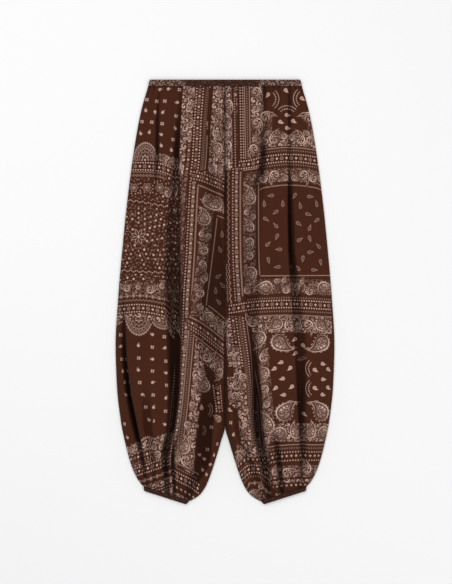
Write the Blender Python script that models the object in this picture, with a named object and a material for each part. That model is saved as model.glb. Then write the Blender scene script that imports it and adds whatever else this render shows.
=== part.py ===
"""Balloon-leg palazzo pants, laid flat on their back with the front facing up.

The garment lies in the XY plane with the waist towards +Y and the cuffs towards -Y.
Seen from above, the wearer's right leg is at -X and the left leg at +X. Each leg is a
front and a back panel lying on each other, sewn along the side and the inner leg. A
narrow elastic casing gathers the waist, and another one gathers each ankle. The cloth
that the casings gather stands in long folds down the fronts. The origin is on the
surface that the pants rest on, under the middle of their outline.
"""

import bpy
import numpy as np

MM = 0.001

# The cloth
WALL = 1.4 * MM
SEAM_GAP = 0.3 * MM
LEG_GAP = 0.3 * MM  # between the two legs, along the middle
FLOOR_TOP = 2 * WALL + SEAM_GAP  # upper side of a front panel that lies on its back

# The casings, whose walls hold the elastic
CASING_WALL = 2.4 * MM
CASING_INSIDE = 2.0 * MM
CASING_PUFF = 0.5 * MM
WAIST_TOP = 487.6 * MM
WAIST_SEAM = 473.1 * MM
WAIST_TOP_HALF = 173.2 * MM
WAIST_SEAM_HALF = 176.6 * MM
CUFF_HEIGHT = 10.1 * MM
CUFF_SEAM_WIDTH = 111.0 * MM
CUFF_EDGE_WIDTH = 101.5 * MM

# Gathers that the elastic makes
WAIST_RIPPLES = 26
CUFF_RIPPLES = 8
CASING_RIPPLE = 0.6 * MM
WAIST_GATHER = 1.3 * MM
CUFF_GATHER = 2.6 * MM
GATHER_REACH = 30 * MM

# Lines across one leg, from the side seam to the middle. Millimetres, as distances from
# the centre line and from the surface's origin; share is how much of the crown's height
# is left at the inner edge, where the two fronts are sewn together down to the crotch.
SECTION_COLUMNS = (
    "name", "down", "outer_x", "outer_y", "inner_x", "inner_y", "crown", "share",
)
SECTIONS = (
    ("waist", 0, 176.6, 472.8, 0.0, 472.8, 6.6, 0.80),
    ("pleat", 65, 194.5, 408.0, 0.0, 408.0, 11.0, 0.60),
    ("hip", 160, 211.0, 313.0, 0.0, 313.0, 14.0, 0.50),
    ("seat", 262, 224.3, 211.6, 0.0, 211.6, 17.0, 0.35),
    ("thigh", 365, 235.0, 108.0, 0.0, 108.0, 19.0, 0.05),
    ("mid", 483, 245.2, -10.0, 0.0, -10.0, 20.0, 0.0),
    ("knee", 595, 251.4, -121.9, 0.0, -121.9, 21.0, 0.0),
    ("calf", 687, 248.5, -213.9, 0.0, -213.9, 22.0, 0.0),
    ("shin", 775, 239.0, -299.0, 0.0, -306.0, 22.0, 0.0),
    ("fork", 822, 229.6, -345.0, 9.7, -345.0, 21.0, 0.0),
    ("low", 860, 220.0, -383.0, 20.8, -382.0, 20.0, 0.0),
    ("gather", 893, 209.0, -414.0, 32.5, -418.0, 18.0, 0.0),
    ("puff", 915, 199.0, -433.0, 44.0, -446.0, 15.0, 0.0),
    ("tuck", 926, 193.0, -441.0, 59.0, -467.0, 11.0, 0.0),
    ("cuff", 937, 189.5, -444.7, 79.1, -479.9, 6.6, 0.0),
)

# Folds down each front. One value for each named section: where the fold's middle is,
# as a share of the way from the side seam to the middle, its half width in millimetres,
# and how much of the cloth's height it takes away.
FOLD_SECTIONS = (
    "waist", "pleat", "hip", "seat", "thigh", "mid", "knee", "calf", "fork", "cuff",
)
RIGHT_FOLDS = {
    "side": {
        "across": (0.045, 0.045, 0.045, 0.045, 0.045, 0.050, 0.072, 0.112, 0.170, 0.200),
        "half": (3.0, 3.0, 3.0, 3.0, 3.0, 3.5, 5.0, 7.0, 7.0, 3.5),
        "depth": (0.0, 0.0, 0.0, 0.0, 0.0, 0.15, 0.6, 0.9, 0.85, 0.4),
    },
    "hip_tuck": {
        "across": (0.170, 0.212, 0.250, 0.290, 0.300, 0.310, 0.300, 0.292, 0.270, 0.360),
        "half": (4.0, 5.0, 5.5, 7.0, 8.0, 8.0, 9.0, 10.0, 7.0, 4.0),
        "depth": (0.35, 0.75, 0.8, 0.1, 0.0, 0.0, 0.1, 0.35, 0.25, 0.5),
    },
    "slot": {
        "across": (0.448, 0.460, 0.480, 0.468, 0.475, 0.500, 0.530, 0.526, 0.470, 0.550),
        "half": (5.0, 5.0, 6.0, 17.0, 18.0, 18.0, 14.0, 13.0, 10.0, 5.0),
        "depth": (0.55, 0.75, 0.85, 1.0, 1.0, 1.0, 1.0, 1.0, 0.95, 0.6),
    },
    "inner": {
        "across": (0.818, 0.830, 0.847, 0.880, 0.885, 0.875, 0.850, 0.830, 0.870, 0.830),
        "half": (6.0, 7.0, 7.0, 12.0, 16.0, 17.0, 17.0, 15.0, 9.0, 4.5),
        "depth": (0.4, 0.45, 0.45, 0.45, 0.5, 0.55, 0.65, 0.85, 0.95, 0.5),
    },
}
LEFT_FOLDS = {
    "slot": {
        "across": (0.171, 0.240, 0.304, 0.340, 0.360, 0.345, 0.314, 0.306, 0.242, 0.190),
        "half": (4.0, 4.5, 5.0, 7.0, 9.0, 10.0, 14.0, 13.0, 9.0, 4.5),
        "depth": (0.25, 0.3, 0.35, 0.9, 1.0, 0.95, 0.85, 0.9, 0.65, 0.4),
    },
    "shin_tuck": {
        "across": (0.320, 0.380, 0.430, 0.470, 0.480, 0.470, 0.450, 0.450, 0.455, 0.370),
        "half": (4.0, 4.0, 4.0, 5.0, 5.0, 5.0, 5.0, 6.0, 7.0, 4.5),
        "depth": (0.3, 0.1, 0.0, 0.0, 0.0, 0.0, 0.0, 0.0, 0.3, 0.7),
    },
    "inner": {
        "across": (0.487, 0.545, 0.590, 0.640, 0.680, 0.745, 0.744, 0.694, 0.660, 0.560),
        "half": (6.0, 6.0, 6.0, 6.0, 6.0, 6.0, 8.0, 10.0, 10.0, 5.0),
        "depth": (0.6, 0.65, 0.7, 0.25, 0.15, 0.3, 0.7, 0.95, 1.0, 0.5),
    },
    "inseam": {
        "across": (0.870, 0.870, 0.875, 0.890, 0.900, 0.910, 0.920, 0.910, 0.880, 0.800),
        "half": (5.0, 5.0, 5.0, 5.0, 6.0, 6.0, 7.0, 7.0, 6.0, 4.0),
        "depth": (0.3, 0.25, 0.2, 0.15, 0.15, 0.2, 0.35, 0.25, 0.3, 0.5),
    },
}
FOLD_WALL = 2.5 * MM  # half the run of a fold's side, from its lip to its bottom
NARROW_FOLD_WALL = 0.35  # the same as a share of the half width, where a fold is narrow
FLUTE_DOME = 0.18  # share of the crown that the cloth gains midway between two folds
OUTER_RISE = 42 * MM  # width over which a panel rises from its side seam
INNER_RISE = 22 * MM
RISE_SHARE = 0.22  # the most of a panel's width that such a rise takes

FOLD_MARKS = 5  # columns of points that each fold sets: two for each lip, one between
FLUTE_COLUMNS = 3  # columns of points between two folds, or a fold and an edge
BACK_COLUMNS = 20
WAVE_COLUMNS = 4  # columns in one gather
FRONT_ROWS = (
    0, 10, 28, 60, 95, 130, 165, 200, 235, 275, 320, 370, 425, 483, 540,
    595, 645, 690, 735, 775, 805, 835, 862, 886, 906, 920, 930, 937,
)
BACK_ROWS = (
    0, 14, 40, 90, 160, 262, 365, 483, 595, 687, 775, 822, 860, 893, 915, 926, 937,
)

COLOURS = {
    "print_cloth": (0.085, 0.032, 0.019),
    "waist_cloth": (0.060, 0.022, 0.014),
    "cuff_cloth": (0.045, 0.017, 0.011),
}
CLOTH_ROUGHNESS = 0.8


def smooth_curve(places, values, at):
    """Reads a smooth curve through the values, which doesn't swing past any of them."""
    places = np.asarray(places, float)
    values = np.asarray(values, float)
    steps = np.diff(places)
    slopes = np.diff(values) / steps
    tangents = np.zeros_like(values)
    same_way = slopes[:-1] * slopes[1:] > 0
    sums = np.where(same_way, slopes[:-1] + slopes[1:], 1.0)
    tangents[1:-1] = np.where(same_way, 2 * slopes[:-1] * slopes[1:] / sums, 0.0)
    tangents[0] = slopes[0]
    tangents[-1] = slopes[-1]
    at = np.clip(np.asarray(at, float), places[0], places[-1])
    left = np.clip(np.searchsorted(places, at, side="right") - 1, 0, len(steps) - 1)
    step = steps[left]
    share = (at - places[left]) / step
    rest = 1 - share
    return (
        values[left] * rest**2 * (1 + 2 * share)
        + values[left + 1] * share**2 * (3 - 2 * share)
        + tangents[left] * step * share * rest**2
        - tangents[left + 1] * step * share**2 * rest
    )


def section_column(name):
    return [row[SECTION_COLUMNS.index(name)] for row in SECTIONS]


def section_value(name, down):
    """A column of SECTIONS at these distances below the waist seam, in millimetres."""
    return smooth_curve(section_column("down"), section_column(name), down)


def fold_value(fold, measure, down):
    downs = dict(zip(section_column("name"), section_column("down")))
    places = [downs[name] for name in FOLD_SECTIONS]
    return smooth_curve(places, fold[measure], down)


def leg_lines(down, side):
    """The outer and inner ends of the lines across one leg, and how wide it is there."""
    outer_x = side * section_value("outer_x", down) * MM
    inner_x = side * (section_value("inner_x", down) * MM + LEG_GAP / 2)
    outer = np.stack([outer_x, section_value("outer_y", down) * MM], axis=1)
    inner = np.stack([inner_x, section_value("inner_y", down) * MM], axis=1)
    return outer, inner, np.linalg.norm(inner - outer, axis=1)


def fold_frames(folds, down, width):
    """For each fold, its middle, half width and side's run across each line, in metres."""
    frames = []
    for fold in folds.values():
        middle = fold_value(fold, "across", down) * width
        half = fold_value(fold, "half", down) * MM
        run = np.minimum(FOLD_WALL, NARROW_FOLD_WALL * half)
        frames.append((middle, half, run, fold_value(fold, "depth", down)))
    return frames


def front_columns(frames, width):
    """Distances from the side seam of each line's points, which follow the folds."""
    marks = [np.zeros_like(width)]
    for middle, half, run, _ in frames:
        marks += [middle - half - run, middle - half + run, middle]
        marks += [middle + half - run, middle + half + run]
    marks.append(width)
    columns = []
    for index, (low, high) in enumerate(zip(marks, marks[1:])):
        columns.append(low)
        between_folds = index % FOLD_MARKS == 0
        if between_folds:
            for share in np.linspace(0, 1, FLUTE_COLUMNS + 2)[1:-1]:
                columns.append(low + (high - low) * share)
    columns.append(width)
    return np.stack(columns, axis=1)


def edge_rise(distance, reach):
    share = np.clip(distance / reach, 0, 1)
    return 1 - (1 - share) ** 2


def dome_between(frames, columns, width):
    """0 at the middle of each fold and at the edges, and 1 midway between two of them."""
    zero = np.zeros_like(width)
    middles = [zero] + [middle for middle, _, _, _ in frames] + [width]
    dome = np.zeros_like(columns)
    for low, high in zip(middles, middles[1:]):
        share = (columns - low[:, None]) / (high - low)[:, None]
        inside = (share >= 0) & (share <= 1)
        dome = np.where(inside, np.sin(np.pi * np.clip(share, 0, 1)), dome)
    return dome


def fold_cut(frames, columns):
    """The share of the height that the folds take away at each point."""
    cut = np.zeros_like(columns)
    for middle, half, run, depth in frames:
        from_middle = np.abs(columns - middle[:, None])
        inner_lip = (half - run)[:, None]
        share = np.clip((from_middle - inner_lip) / (2 * run[:, None]), 0, 1)
        cut = np.maximum(cut, depth[:, None] * (1 + np.cos(np.pi * share)) / 2)
    return cut


def gather_waves(columns, down, at_waist, at_cuff):
    """Waves, one to each four columns of points, that die away from the elastic."""
    index = np.arange(columns.shape[1])
    wave = np.sin(2 * np.pi * index / WAVE_COLUMNS)
    length = section_column("down")[-1]
    size = at_waist * np.exp(-down * MM / GATHER_REACH)
    size = size + at_cuff * np.exp(-(length - down) * MM / GATHER_REACH)
    return size[:, None] * wave[None, :]


def front_heights(folds, down, columns, width):
    frames = fold_frames(folds, down, width)
    crown = section_value("crown", down) * MM
    share = section_value("share", down)
    outer_reach = np.minimum(OUTER_RISE, RISE_SHARE * width)[:, None]
    inner_reach = np.minimum(INNER_RISE, RISE_SHARE * width)[:, None]
    rise = edge_rise(columns, outer_reach)
    inner_rise = edge_rise(width[:, None] - columns, inner_reach)
    rise = rise * (share[:, None] + (1 - share[:, None]) * inner_rise)
    dome = 1 - FLUTE_DOME + FLUTE_DOME * dome_between(frames, columns, width)
    lift = (crown - FLOOR_TOP)[:, None] * rise * dome
    cut = fold_cut(frames, columns)
    waves = gather_waves(columns, down, WAIST_GATHER, CUFF_GATHER) * rise
    return np.maximum(FLOOR_TOP + lift * (1 - cut) + waves, FLOOR_TOP)


def points_on_lines(outer, inner, width, columns, heights):
    share = (columns / width[:, None])[..., None]
    flat = outer[:, None, :] * (1 - share) + inner[:, None, :] * share
    return np.concatenate([flat, heights[..., None]], axis=2)


def wall_normals(points, outer, inner):
    """Upward normals of a grid of points. The rim's stay in the plane of the seam."""
    along = np.gradient(points, axis=0)
    across = np.gradient(points, axis=1)
    normals = np.cross(along, across)
    normals *= np.sign(normals[..., 2:3])
    for row in (0, -1):
        line = inner[row] - outer[row]
        line = line / np.linalg.norm(line)
        over_line = normals[row, :, :2] @ line
        normals[row, :, :2] = over_line[:, None] * line[None, :]
    normals[:, (0, -1), :2] = 0
    return normals / np.linalg.norm(normals, axis=2, keepdims=True)


def sheet_faces(rows, columns, flip):
    """Quads of a closed wall made of two grids of points, the upper one first."""
    count = rows * columns
    grid = np.arange(count).reshape(rows, columns)
    faces = []
    for i in range(rows - 1):
        for j in range(columns - 1):
            quad = [grid[i, j], grid[i + 1, j], grid[i + 1, j + 1], grid[i, j + 1]]
            faces.append(quad)
            faces.append([corner + count for corner in reversed(quad)])
    rim = list(grid[0, :-1]) + list(grid[:-1, -1])
    rim += list(grid[-1, :0:-1]) + list(grid[:0:-1, 0])
    for start, end in zip(rim, rim[1:] + rim[:1]):
        faces.append([start, end, end + count, start + count])
    if flip:
        faces = [list(reversed(face)) for face in faces]
    return [[int(corner) for corner in face] for face in faces]


def cloth_material(name):
    material = bpy.data.materials.get(name)
    if material is None:
        material = bpy.data.materials.new(name)
        material.use_nodes = True
        shader = material.node_tree.nodes["Principled BSDF"]
        shader.inputs["Base Color"].default_value = (*COLOURS[name], 1)
        shader.inputs["Roughness"].default_value = CLOTH_ROUGHNESS
        shader.inputs["Metallic"].default_value = 0
    return material


def add_object(name, points, faces, material):
    mesh = bpy.data.meshes.new(name)
    mesh.from_pydata([tuple(map(float, point)) for point in points], [], faces)
    mesh.validate()
    mesh.materials.append(cloth_material(material))
    mesh.shade_smooth()
    made = bpy.data.objects.new(name, mesh)
    bpy.context.scene.collection.objects.link(made)
    return made


def add_panel(name, side, upper, lower):
    rows, columns = upper.shape[:2]
    points = np.concatenate([upper.reshape(-1, 3), lower.reshape(-1, 3)])
    return add_object(name, points, sheet_faces(rows, columns, side > 0), "print_cloth")


def add_front(name, side, folds):
    down = np.array(FRONT_ROWS, float)
    outer, inner, width = leg_lines(down, side)
    columns = front_columns(fold_frames(folds, down, width), width)
    heights = front_heights(folds, down, columns, width)
    upper = points_on_lines(outer, inner, width, columns, heights)
    lower = upper - WALL * wall_normals(upper, outer, inner)
    lower[..., 2] = np.maximum(lower[..., 2], WALL + SEAM_GAP)
    return add_panel(name, side, upper, lower)


def add_back(name, side):
    """The back panel, which lies flat on the surface."""
    down = np.array(BACK_ROWS, float)
    outer, inner, width = leg_lines(down, side)
    columns = width[:, None] * np.linspace(0, 1, BACK_COLUMNS + 1)[None, :]
    lower = points_on_lines(outer, inner, width, columns, np.zeros_like(columns))
    upper = points_on_lines(outer, inner, width, columns, np.full_like(columns, WALL))
    return add_panel(name, side, upper, lower)


def casing_path(half, ripples, columns_each, back_columns, end_columns):
    """Points round a flattened casing that reaches half to each side of its middle.

    Each is a place across, a height, a normal across, a normal up, and the share of the
    puff that the wall has there.
    """
    wall_middle = CASING_WALL / 2
    end_radius = (CASING_INSIDE + CASING_WALL) / 2
    straight = half - end_radius - wall_middle
    top = wall_middle + 2 * end_radius
    path = []
    count = ripples * columns_each
    for index in range(count + 1):
        share = index / count
        fade = np.sin(np.pi * share) ** 0.3
        ripple = CASING_RIPPLE * fade * np.sin(2 * np.pi * index / columns_each)
        path.append((-straight + 2 * straight * share, top + ripple, 0.0, 1.0, 1.0))
    for index in range(1, end_columns):
        angle = np.pi / 2 - np.pi * index / end_columns
        path.append((
            straight + end_radius * np.cos(angle), wall_middle + end_radius * (1 + np.sin(angle)),
            np.cos(angle), np.sin(angle), max(0.0, np.sin(angle)),
        ))
    for index in range(back_columns + 1):
        share = index / back_columns
        path.append((straight - 2 * straight * share, wall_middle, 0.0, -1.0, 0.0))
    for index in range(1, end_columns):
        angle = -np.pi / 2 - np.pi * index / end_columns
        path.append((
            -straight + end_radius * np.cos(angle), wall_middle + end_radius * (1 + np.sin(angle)),
            np.cos(angle), np.sin(angle), max(0.0, np.sin(angle)),
        ))
    return path


def add_casing(name, material, middle, across, down, halves, height, ripples, back_columns):
    """A flattened ring of wall. middle is the middle of its seam edge, and halves are its
    half widths at that edge and at the free one, which lies height further down."""
    half_seam, half_edge = halves
    path = casing_path(half_seam, ripples, WAVE_COLUMNS, back_columns, 4)
    half_wall = CASING_WALL / 2
    # The wall's section: its four corners, and a point on its puffed outer side. Each is
    # a share of the height, a distance out from the path, and 1 where it is puffed.
    corners = ((0.0, half_wall, 0), (0.5, half_wall, 1), (1.0, half_wall, 0),
               (1.0, -half_wall, 0), (0.0, -half_wall, 0))
    points = []
    for place, level, normal_across, normal_up, puff in path:
        for share, out, puffed in corners:
            narrowing = 1 + (half_edge / half_seam - 1) * share
            out = out + CASING_PUFF * puff * puffed
            x_place = (place + out * normal_across) * narrowing
            flat = middle + across * x_place + down * height * share
            points.append((flat[0], flat[1], level + out * normal_up))
    faces = []
    size = len(corners)
    for index in range(len(path)):
        after = (index + 1) % len(path)
        for corner in range(size):
            other = (corner + 1) % size
            faces.append([
                index * size + corner, after * size + corner,
                after * size + other, index * size + other,
            ])
    turned = across[0] * down[1] - across[1] * down[0] < 0
    if turned:
        faces = [list(reversed(face)) for face in faces]
    return add_object(name, points, faces, material)


def add_cuff(name, side):
    """The ankle casing, along the last line of the leg and one seam's gap below it."""
    last = np.array([section_column("down")[-1]], float)
    outer, inner, _ = leg_lines(last, side)
    across = (inner[0] - outer[0]) / np.linalg.norm(inner[0] - outer[0])
    down = np.array([-across[1], across[0]])
    down = down * np.sign(-down[1])
    middle = (outer[0] + inner[0]) / 2 + down * SEAM_GAP
    halves = (CUFF_SEAM_WIDTH / 2, CUFF_EDGE_WIDTH / 2)
    return add_casing(
        name, "cuff_cloth", middle, across, down, halves, CUFF_HEIGHT, CUFF_RIPPLES, 6
    )


def add_waistband():
    middle = np.array([0.0, WAIST_SEAM])
    across, up = np.array([1.0, 0.0]), np.array([0.0, 1.0])
    halves = (WAIST_SEAM_HALF, WAIST_TOP_HALF)
    height = WAIST_TOP - WAIST_SEAM
    return add_casing(
        "waistband", "waist_cloth", middle, across, up, halves, height, WAIST_RIPPLES, 12
    )


def main():
    for old in list(bpy.data.objects):
        bpy.data.objects.remove(old)
    right, left = -1, 1
    add_front("right_front", right, RIGHT_FOLDS)
    add_front("left_front", left, LEFT_FOLDS)
    add_back("right_back", right)
    add_back("left_back", left)
    add_waistband()
    add_cuff("right_cuff", right)
    add_cuff("left_cuff", left)


main()
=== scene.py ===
"""The looks of the balloon-leg palazzo pants: printed cloth, folds, gathers and seams.

The pants lie flat on a pale floor, front up, and the camera looks straight down. The
printed cloth is dark brown with a pale patchwork of bandana borders, paisleys, small
Every motif is drawn by formulas in the shaders. Shade is also painted into the cloth's
colour: in the folds, in the troughs of the gathers and beside the middle seam.
"""

import bpy
import numpy as np
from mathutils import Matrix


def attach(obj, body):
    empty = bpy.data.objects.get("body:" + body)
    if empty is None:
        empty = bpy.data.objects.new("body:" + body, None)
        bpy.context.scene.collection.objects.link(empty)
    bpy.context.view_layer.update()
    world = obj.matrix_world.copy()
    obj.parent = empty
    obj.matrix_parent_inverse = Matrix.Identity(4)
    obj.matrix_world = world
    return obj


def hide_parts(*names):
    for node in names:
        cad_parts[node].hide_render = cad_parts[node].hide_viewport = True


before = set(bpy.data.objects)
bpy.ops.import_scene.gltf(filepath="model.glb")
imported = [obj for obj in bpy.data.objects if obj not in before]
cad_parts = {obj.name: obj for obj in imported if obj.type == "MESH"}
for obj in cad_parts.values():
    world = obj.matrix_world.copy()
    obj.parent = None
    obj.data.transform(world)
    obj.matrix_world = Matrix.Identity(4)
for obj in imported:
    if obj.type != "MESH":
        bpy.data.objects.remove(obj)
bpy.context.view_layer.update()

MM = 0.001
RIGHT, LEFT = -1, 1  # the wearer's legs, and which way along X each one lies

# ---------------------------------------------------------------- the form of the legs

CLOTH = 0.5 * MM
WALL = 1.4 * MM
SEAM_GAP = 0.3 * MM
LEG_GAP = 0.3 * MM
FLOOR_TOP = 2 * WALL + SEAM_GAP  # how high a front lies where it is pressed flat

# The lines across a leg, in mm: how far down each is, where its outer and inner ends lie,
# how high the cloth stands, and what share of that height its inner edge keeps
SECTION_COLUMNS = (
    "name", "down", "outer_x", "outer_y", "inner_x", "inner_y", "crown", "share",
)
SECTIONS = (
    ("waist", 0, 176.6, 472.8, 0.0, 472.8, 6.6, 0.80),
    ("pleat", 65, 194.5, 408.0, 0.0, 408.0, 11.0, 0.60),
    ("hip", 160, 211.0, 313.0, 0.0, 313.0, 14.0, 0.50),
    ("seat", 262, 224.3, 211.6, 0.0, 211.6, 17.0, 0.35),
    ("thigh", 365, 235.0, 108.0, 0.0, 108.0, 19.0, 0.05),
    ("mid", 483, 245.2, -10.0, 0.0, -10.0, 20.0, 0.0),
    ("knee", 595, 251.4, -121.9, 0.0, -121.9, 21.0, 0.0),
    ("calf", 687, 248.5, -213.9, 0.0, -213.9, 22.0, 0.0),
    ("shin", 775, 239.0, -299.0, 0.0, -306.0, 22.0, 0.0),
    ("fork", 822, 229.6, -345.0, 9.7, -345.0, 21.0, 0.0),
    ("low", 860, 220.0, -383.0, 20.8, -382.0, 20.0, 0.0),
    ("gather", 893, 209.0, -414.0, 32.5, -418.0, 18.0, 0.0),
    ("puff", 915, 199.0, -433.0, 44.0, -446.0, 15.0, 0.0),
    ("tuck", 926, 193.0, -441.0, 59.0, -467.0, 11.0, 0.0),
    ("cuff", 937, 189.5, -444.7, 79.1, -479.9, 6.6, 0.0),
)
LENGTH = SECTIONS[-1][1]

FOLD_SECTIONS = (
    "waist", "pleat", "hip", "seat", "thigh", "mid", "knee", "calf", "shin", "low", "cuff",
)
STEP = 2.3 * MM  # the unit across the pants for the folds, and for the print's layout
# Each fold, at those sections: how many steps across from the middle of the pants it is,
# half its width in mm, how deep it is, and how strong the shade painted into its colour
# is. Its sides slope out by so many mm more on the side seam's side and on the other, and
# its lips lean that far towards the side seam or away.
RIGHT_FOLDS = {
    "side": {
        "across": (-73, -79, -87, -94, -97, -101, -100.3, -96.5, -89.7, -81.8, -77),
        "half": (1.5, 1.5, 1.5, 1.5, 1.5, 2, 4.5, 5, 5, 3, 2),
        "depth": (0, 0, 0, 0, 0, 0.15, 0.7, 0.9, 0.9, 0.7, 0.4),
        "shade": (0, 0, 0, 0, 0, 0.2, 0.85, 1, 1, 0.8, 0.3),
        "slope": (4.0, 1.0),
        "lean": (0.0, -3.0),
    },
    "hip_tuck": {
        "across": (-65, -67.3, -68, -71, -74, -77, -79, -79, -77, -71, -70),
        "half": (1.2, 1.6, 2.2, 2, 3, 4, 4, 5, 7, 3, 2),
        "depth": (0.2, 0.6, 0.7, 0, 0, 0, 0, 0.1, 0.35, 0.3, 0.2),
        "shade": (0.1, 0.65, 0.75, 0, 0, 0, 0, 0.05, 0.4, 0.3, 0.2),
        "slope": (2.0, 3.0),
        "lean": (0.0, 0.0),
    },
    "slot": {
        "across": (-43, -45.4, -48.3, -49.8, -51.4, -50.9, -50.0, -50.2, -53.0, -59.3, -57.5),
        "half": (1.5, 2, 3.5, 10.5, 12.5, 15, 11, 9, 5.8, 4.5, 4),
        "depth": (0.45, 0.65, 0.85, 0.95, 1, 1, 1, 1, 1, 0.85, 0.6),
        "shade": (0.3, 0.5, 0.9, 0.55, 0.64, 0.76, 0.83, 0.87, 0.88, 0.88, 0.8),
        "slope": (6.0, 3.0),
        "lean": (0.0, 2.5),
    },
    "cuff_tuck": {
        "across": (-32, -33, -34, -36, -37, -38, -39, -40, -44.5, -52.6, -50.5),
        "half": (1, 1, 1, 1, 1, 1, 1, 1, 1.5, 3.5, 3),
        "depth": (0, 0, 0, 0, 0, 0, 0, 0, 0.1, 0.7, 0.5),
        "shade": (0, 0, 0, 0, 0, 0, 0, 0, 0.1, 0.85, 0.7),
        "slope": (1.5, 1.5),
        "lean": (0.0, 0.0),
    },
    "inner": {
        "across": (-14, -14.5, -15.5, -12.5, -11, -12, -14.5, -14, -19, -21.2, -38),
        "half": (3, 4, 4, 12, 19, 25, 22, 14, 14, 14, 4),
        "depth": (0.4, 0.45, 0.45, 0.45, 0.5, 0.5, 0.5, 0.55, 0.6, 0.6, 0.4),
        "shade": (0.2, 0.3, 0.45, 0.35, 0.5, 0.55, 0.48, 0.58, 0.68, 0.7, 0.6),
        "slope": (13.0, 4.0),
        "lean": (0.0, -2.0),
    },
}
LEFT_FOLDS = {
    "slot": {
        "across": (64, 63.8, 64, 63.9, 64.8, 69.3, 73.8, 74.8, 75.3, 77, 73),
        "half": (1.2, 1.6, 1.5, 2.6, 4.2, 7, 9, 7.5, 4.6, 4, 3),
        "depth": (0.25, 0.3, 0.35, 0.85, 1, 0.8, 0.6, 0.65, 0.7, 0.6, 0.4),
        "shade": (0.5, 0.7, 0.4, 0.95, 0.95, 0.6, 0.55, 0.72, 0.82, 0.5, 0.3),
        "slope": (7.5, 2.5),
        "lean": (0.0, -4.0),
    },
    "shin_tuck": {
        "across": (53, 51, 50, 50, 50, 50, 50, 49, 49.5, 53.3, 57.5),
        "half": (3, 3, 3, 4, 4, 4, 4, 4, 3, 4, 3.5),
        "depth": (0.3, 0.1, 0, 0, 0, 0, 0, 0, 0.1, 0.7, 0.7),
        "shade": (0.2, 0.1, 0, 0, 0, 0, 0, 0, 0.1, 0.8, 0.8),
        "slope": (2.0, 3.0),
        "lean": (0.0, 0.0),
    },
    "inner": {
        "across": (39, 38.8, 38, 31, 27, 26.6, 28, 31, 32.6, 38.2, 44),
        "half": (3, 2.5, 3.5, 11, 14, 13, 5, 6, 7, 7, 4),
        "depth": (0.6, 0.6, 0.75, 0.3, 0.15, 0.3, 0.6, 0.85, 1, 0.9, 0.5),
        "shade": (0.7, 0.4, 0.95, 0.3, 0.42, 0.45, 0.6, 0.85, 0.95, 0.88, 0.6),
        "slope": (6.5, 4.0),
        "lean": (0.0, 3.0),
    },
    "inseam": {
        "across": (10, 11, 11.5, 10.7, 10.2, 9.6, 8.7, 9.7, 13, 25, 37.5),
        "half": (4, 4, 4, 5, 6, 6, 7, 7, 6, 4.5, 1.5),
        "depth": (0.3, 0.25, 0.2, 0.15, 0.15, 0.2, 0.35, 0.25, 0.3, 0.5, 0.4),
        "shade": (0.25, 0.2, 0.15, 0.1, 0.1, 0.15, 0.3, 0.2, 0.3, 0.4, 0.25),
        "slope": (4.0, 4.0),
        "lean": (0.0, 0.0),
    },
}
FOLD_WALL = 2.5 * MM  # how far a fold's side runs in from its lip
NARROW_FOLD_WALL = 0.8  # the same as a share of the half width, where a fold is narrow
FLUTE_DOME = 0.18
OUTER_RISE = 42 * MM
INNER_RISE = 22 * MM
RISE_SHARE = 0.22
# The print runs true to length over a fold's lip from the second depth on, and as in plan
# up to the first one.
TRUE_LENGTH_DEPTHS = (0.6, 0.95)

# How finely the cloth is drawn
FLUTE_STEP = 2.9 * MM
LIP_COLUMNS = 5
CLOSEST_COLUMNS = 0.3 * MM
TROUGH_COLUMNS = 3
FEWEST_COLUMNS = 3
FOLD_MARKS = 5  # the parts from one fold to the next: a flute, two lips and two troughs
ROW_STEPS = ((40, 2.5), (800, 4.0), (LENGTH, 2.6))  # down to here, a row each so many mm

# Gathers, leaning lips, the shade painted beside the middle seam, and small creases
WAIST_GATHER = 1.0 * MM
CUFF_GATHER = 2.2 * MM
WAIST_REACH = 14 * MM
CUFF_REACH = 32 * MM
WAIST_GATHER_PITCH = 9 * MM
CUFF_GATHER_PITCH = 10 * MM
GATHER_WANDER = (1.4, 1.7)  # how far the gathers wander from an even pitch, and how often
GATHER_SWELL = (0.3, 0.9)  # how much they grow and shrink, and how often
# Shade painted into the troughs of the gathers, at its strongest
GATHER_SHADE = 0.7
LEAN_REACH = 16 * MM
# The shade beside the middle seam is painted into the colour: how far it reaches, and how strong it
# is below and at the waist
SEAM_SHADE = 2.5 * MM  # how far from the middle of the pants the shade of its seam reaches
MIDDLE_SHADE = 0.45
WAIST_MIDDLE_SHADE = 0.75
MIDDLE_SHADE_CHANGES = (250, 330)  # between these places down the leg
LEGS_PART = 822  # from here down the legs stand apart
CREASE_FADE = 0.7  # how much of the creases a fold's bottom loses
# Creases: height in mm, waves across a leg, waves down it, phase
CREASE_WAVES = (
    (0.55, 3.1, 2.3, 0.4), (0.45, -4.3, 3.7, 1.9), (0.35, 7.7, 5.1, 3.1),
    (0.25, -9.4, 8.3, 0.8), (0.20, 12.9, 6.2, 2.2), (0.14, -17.0, 11.0, 4.0),
)

CORNERS = ((0, 0), (1, 0), (1, 1), (0, 1))  # a quad's corners: lines down, points across


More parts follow.
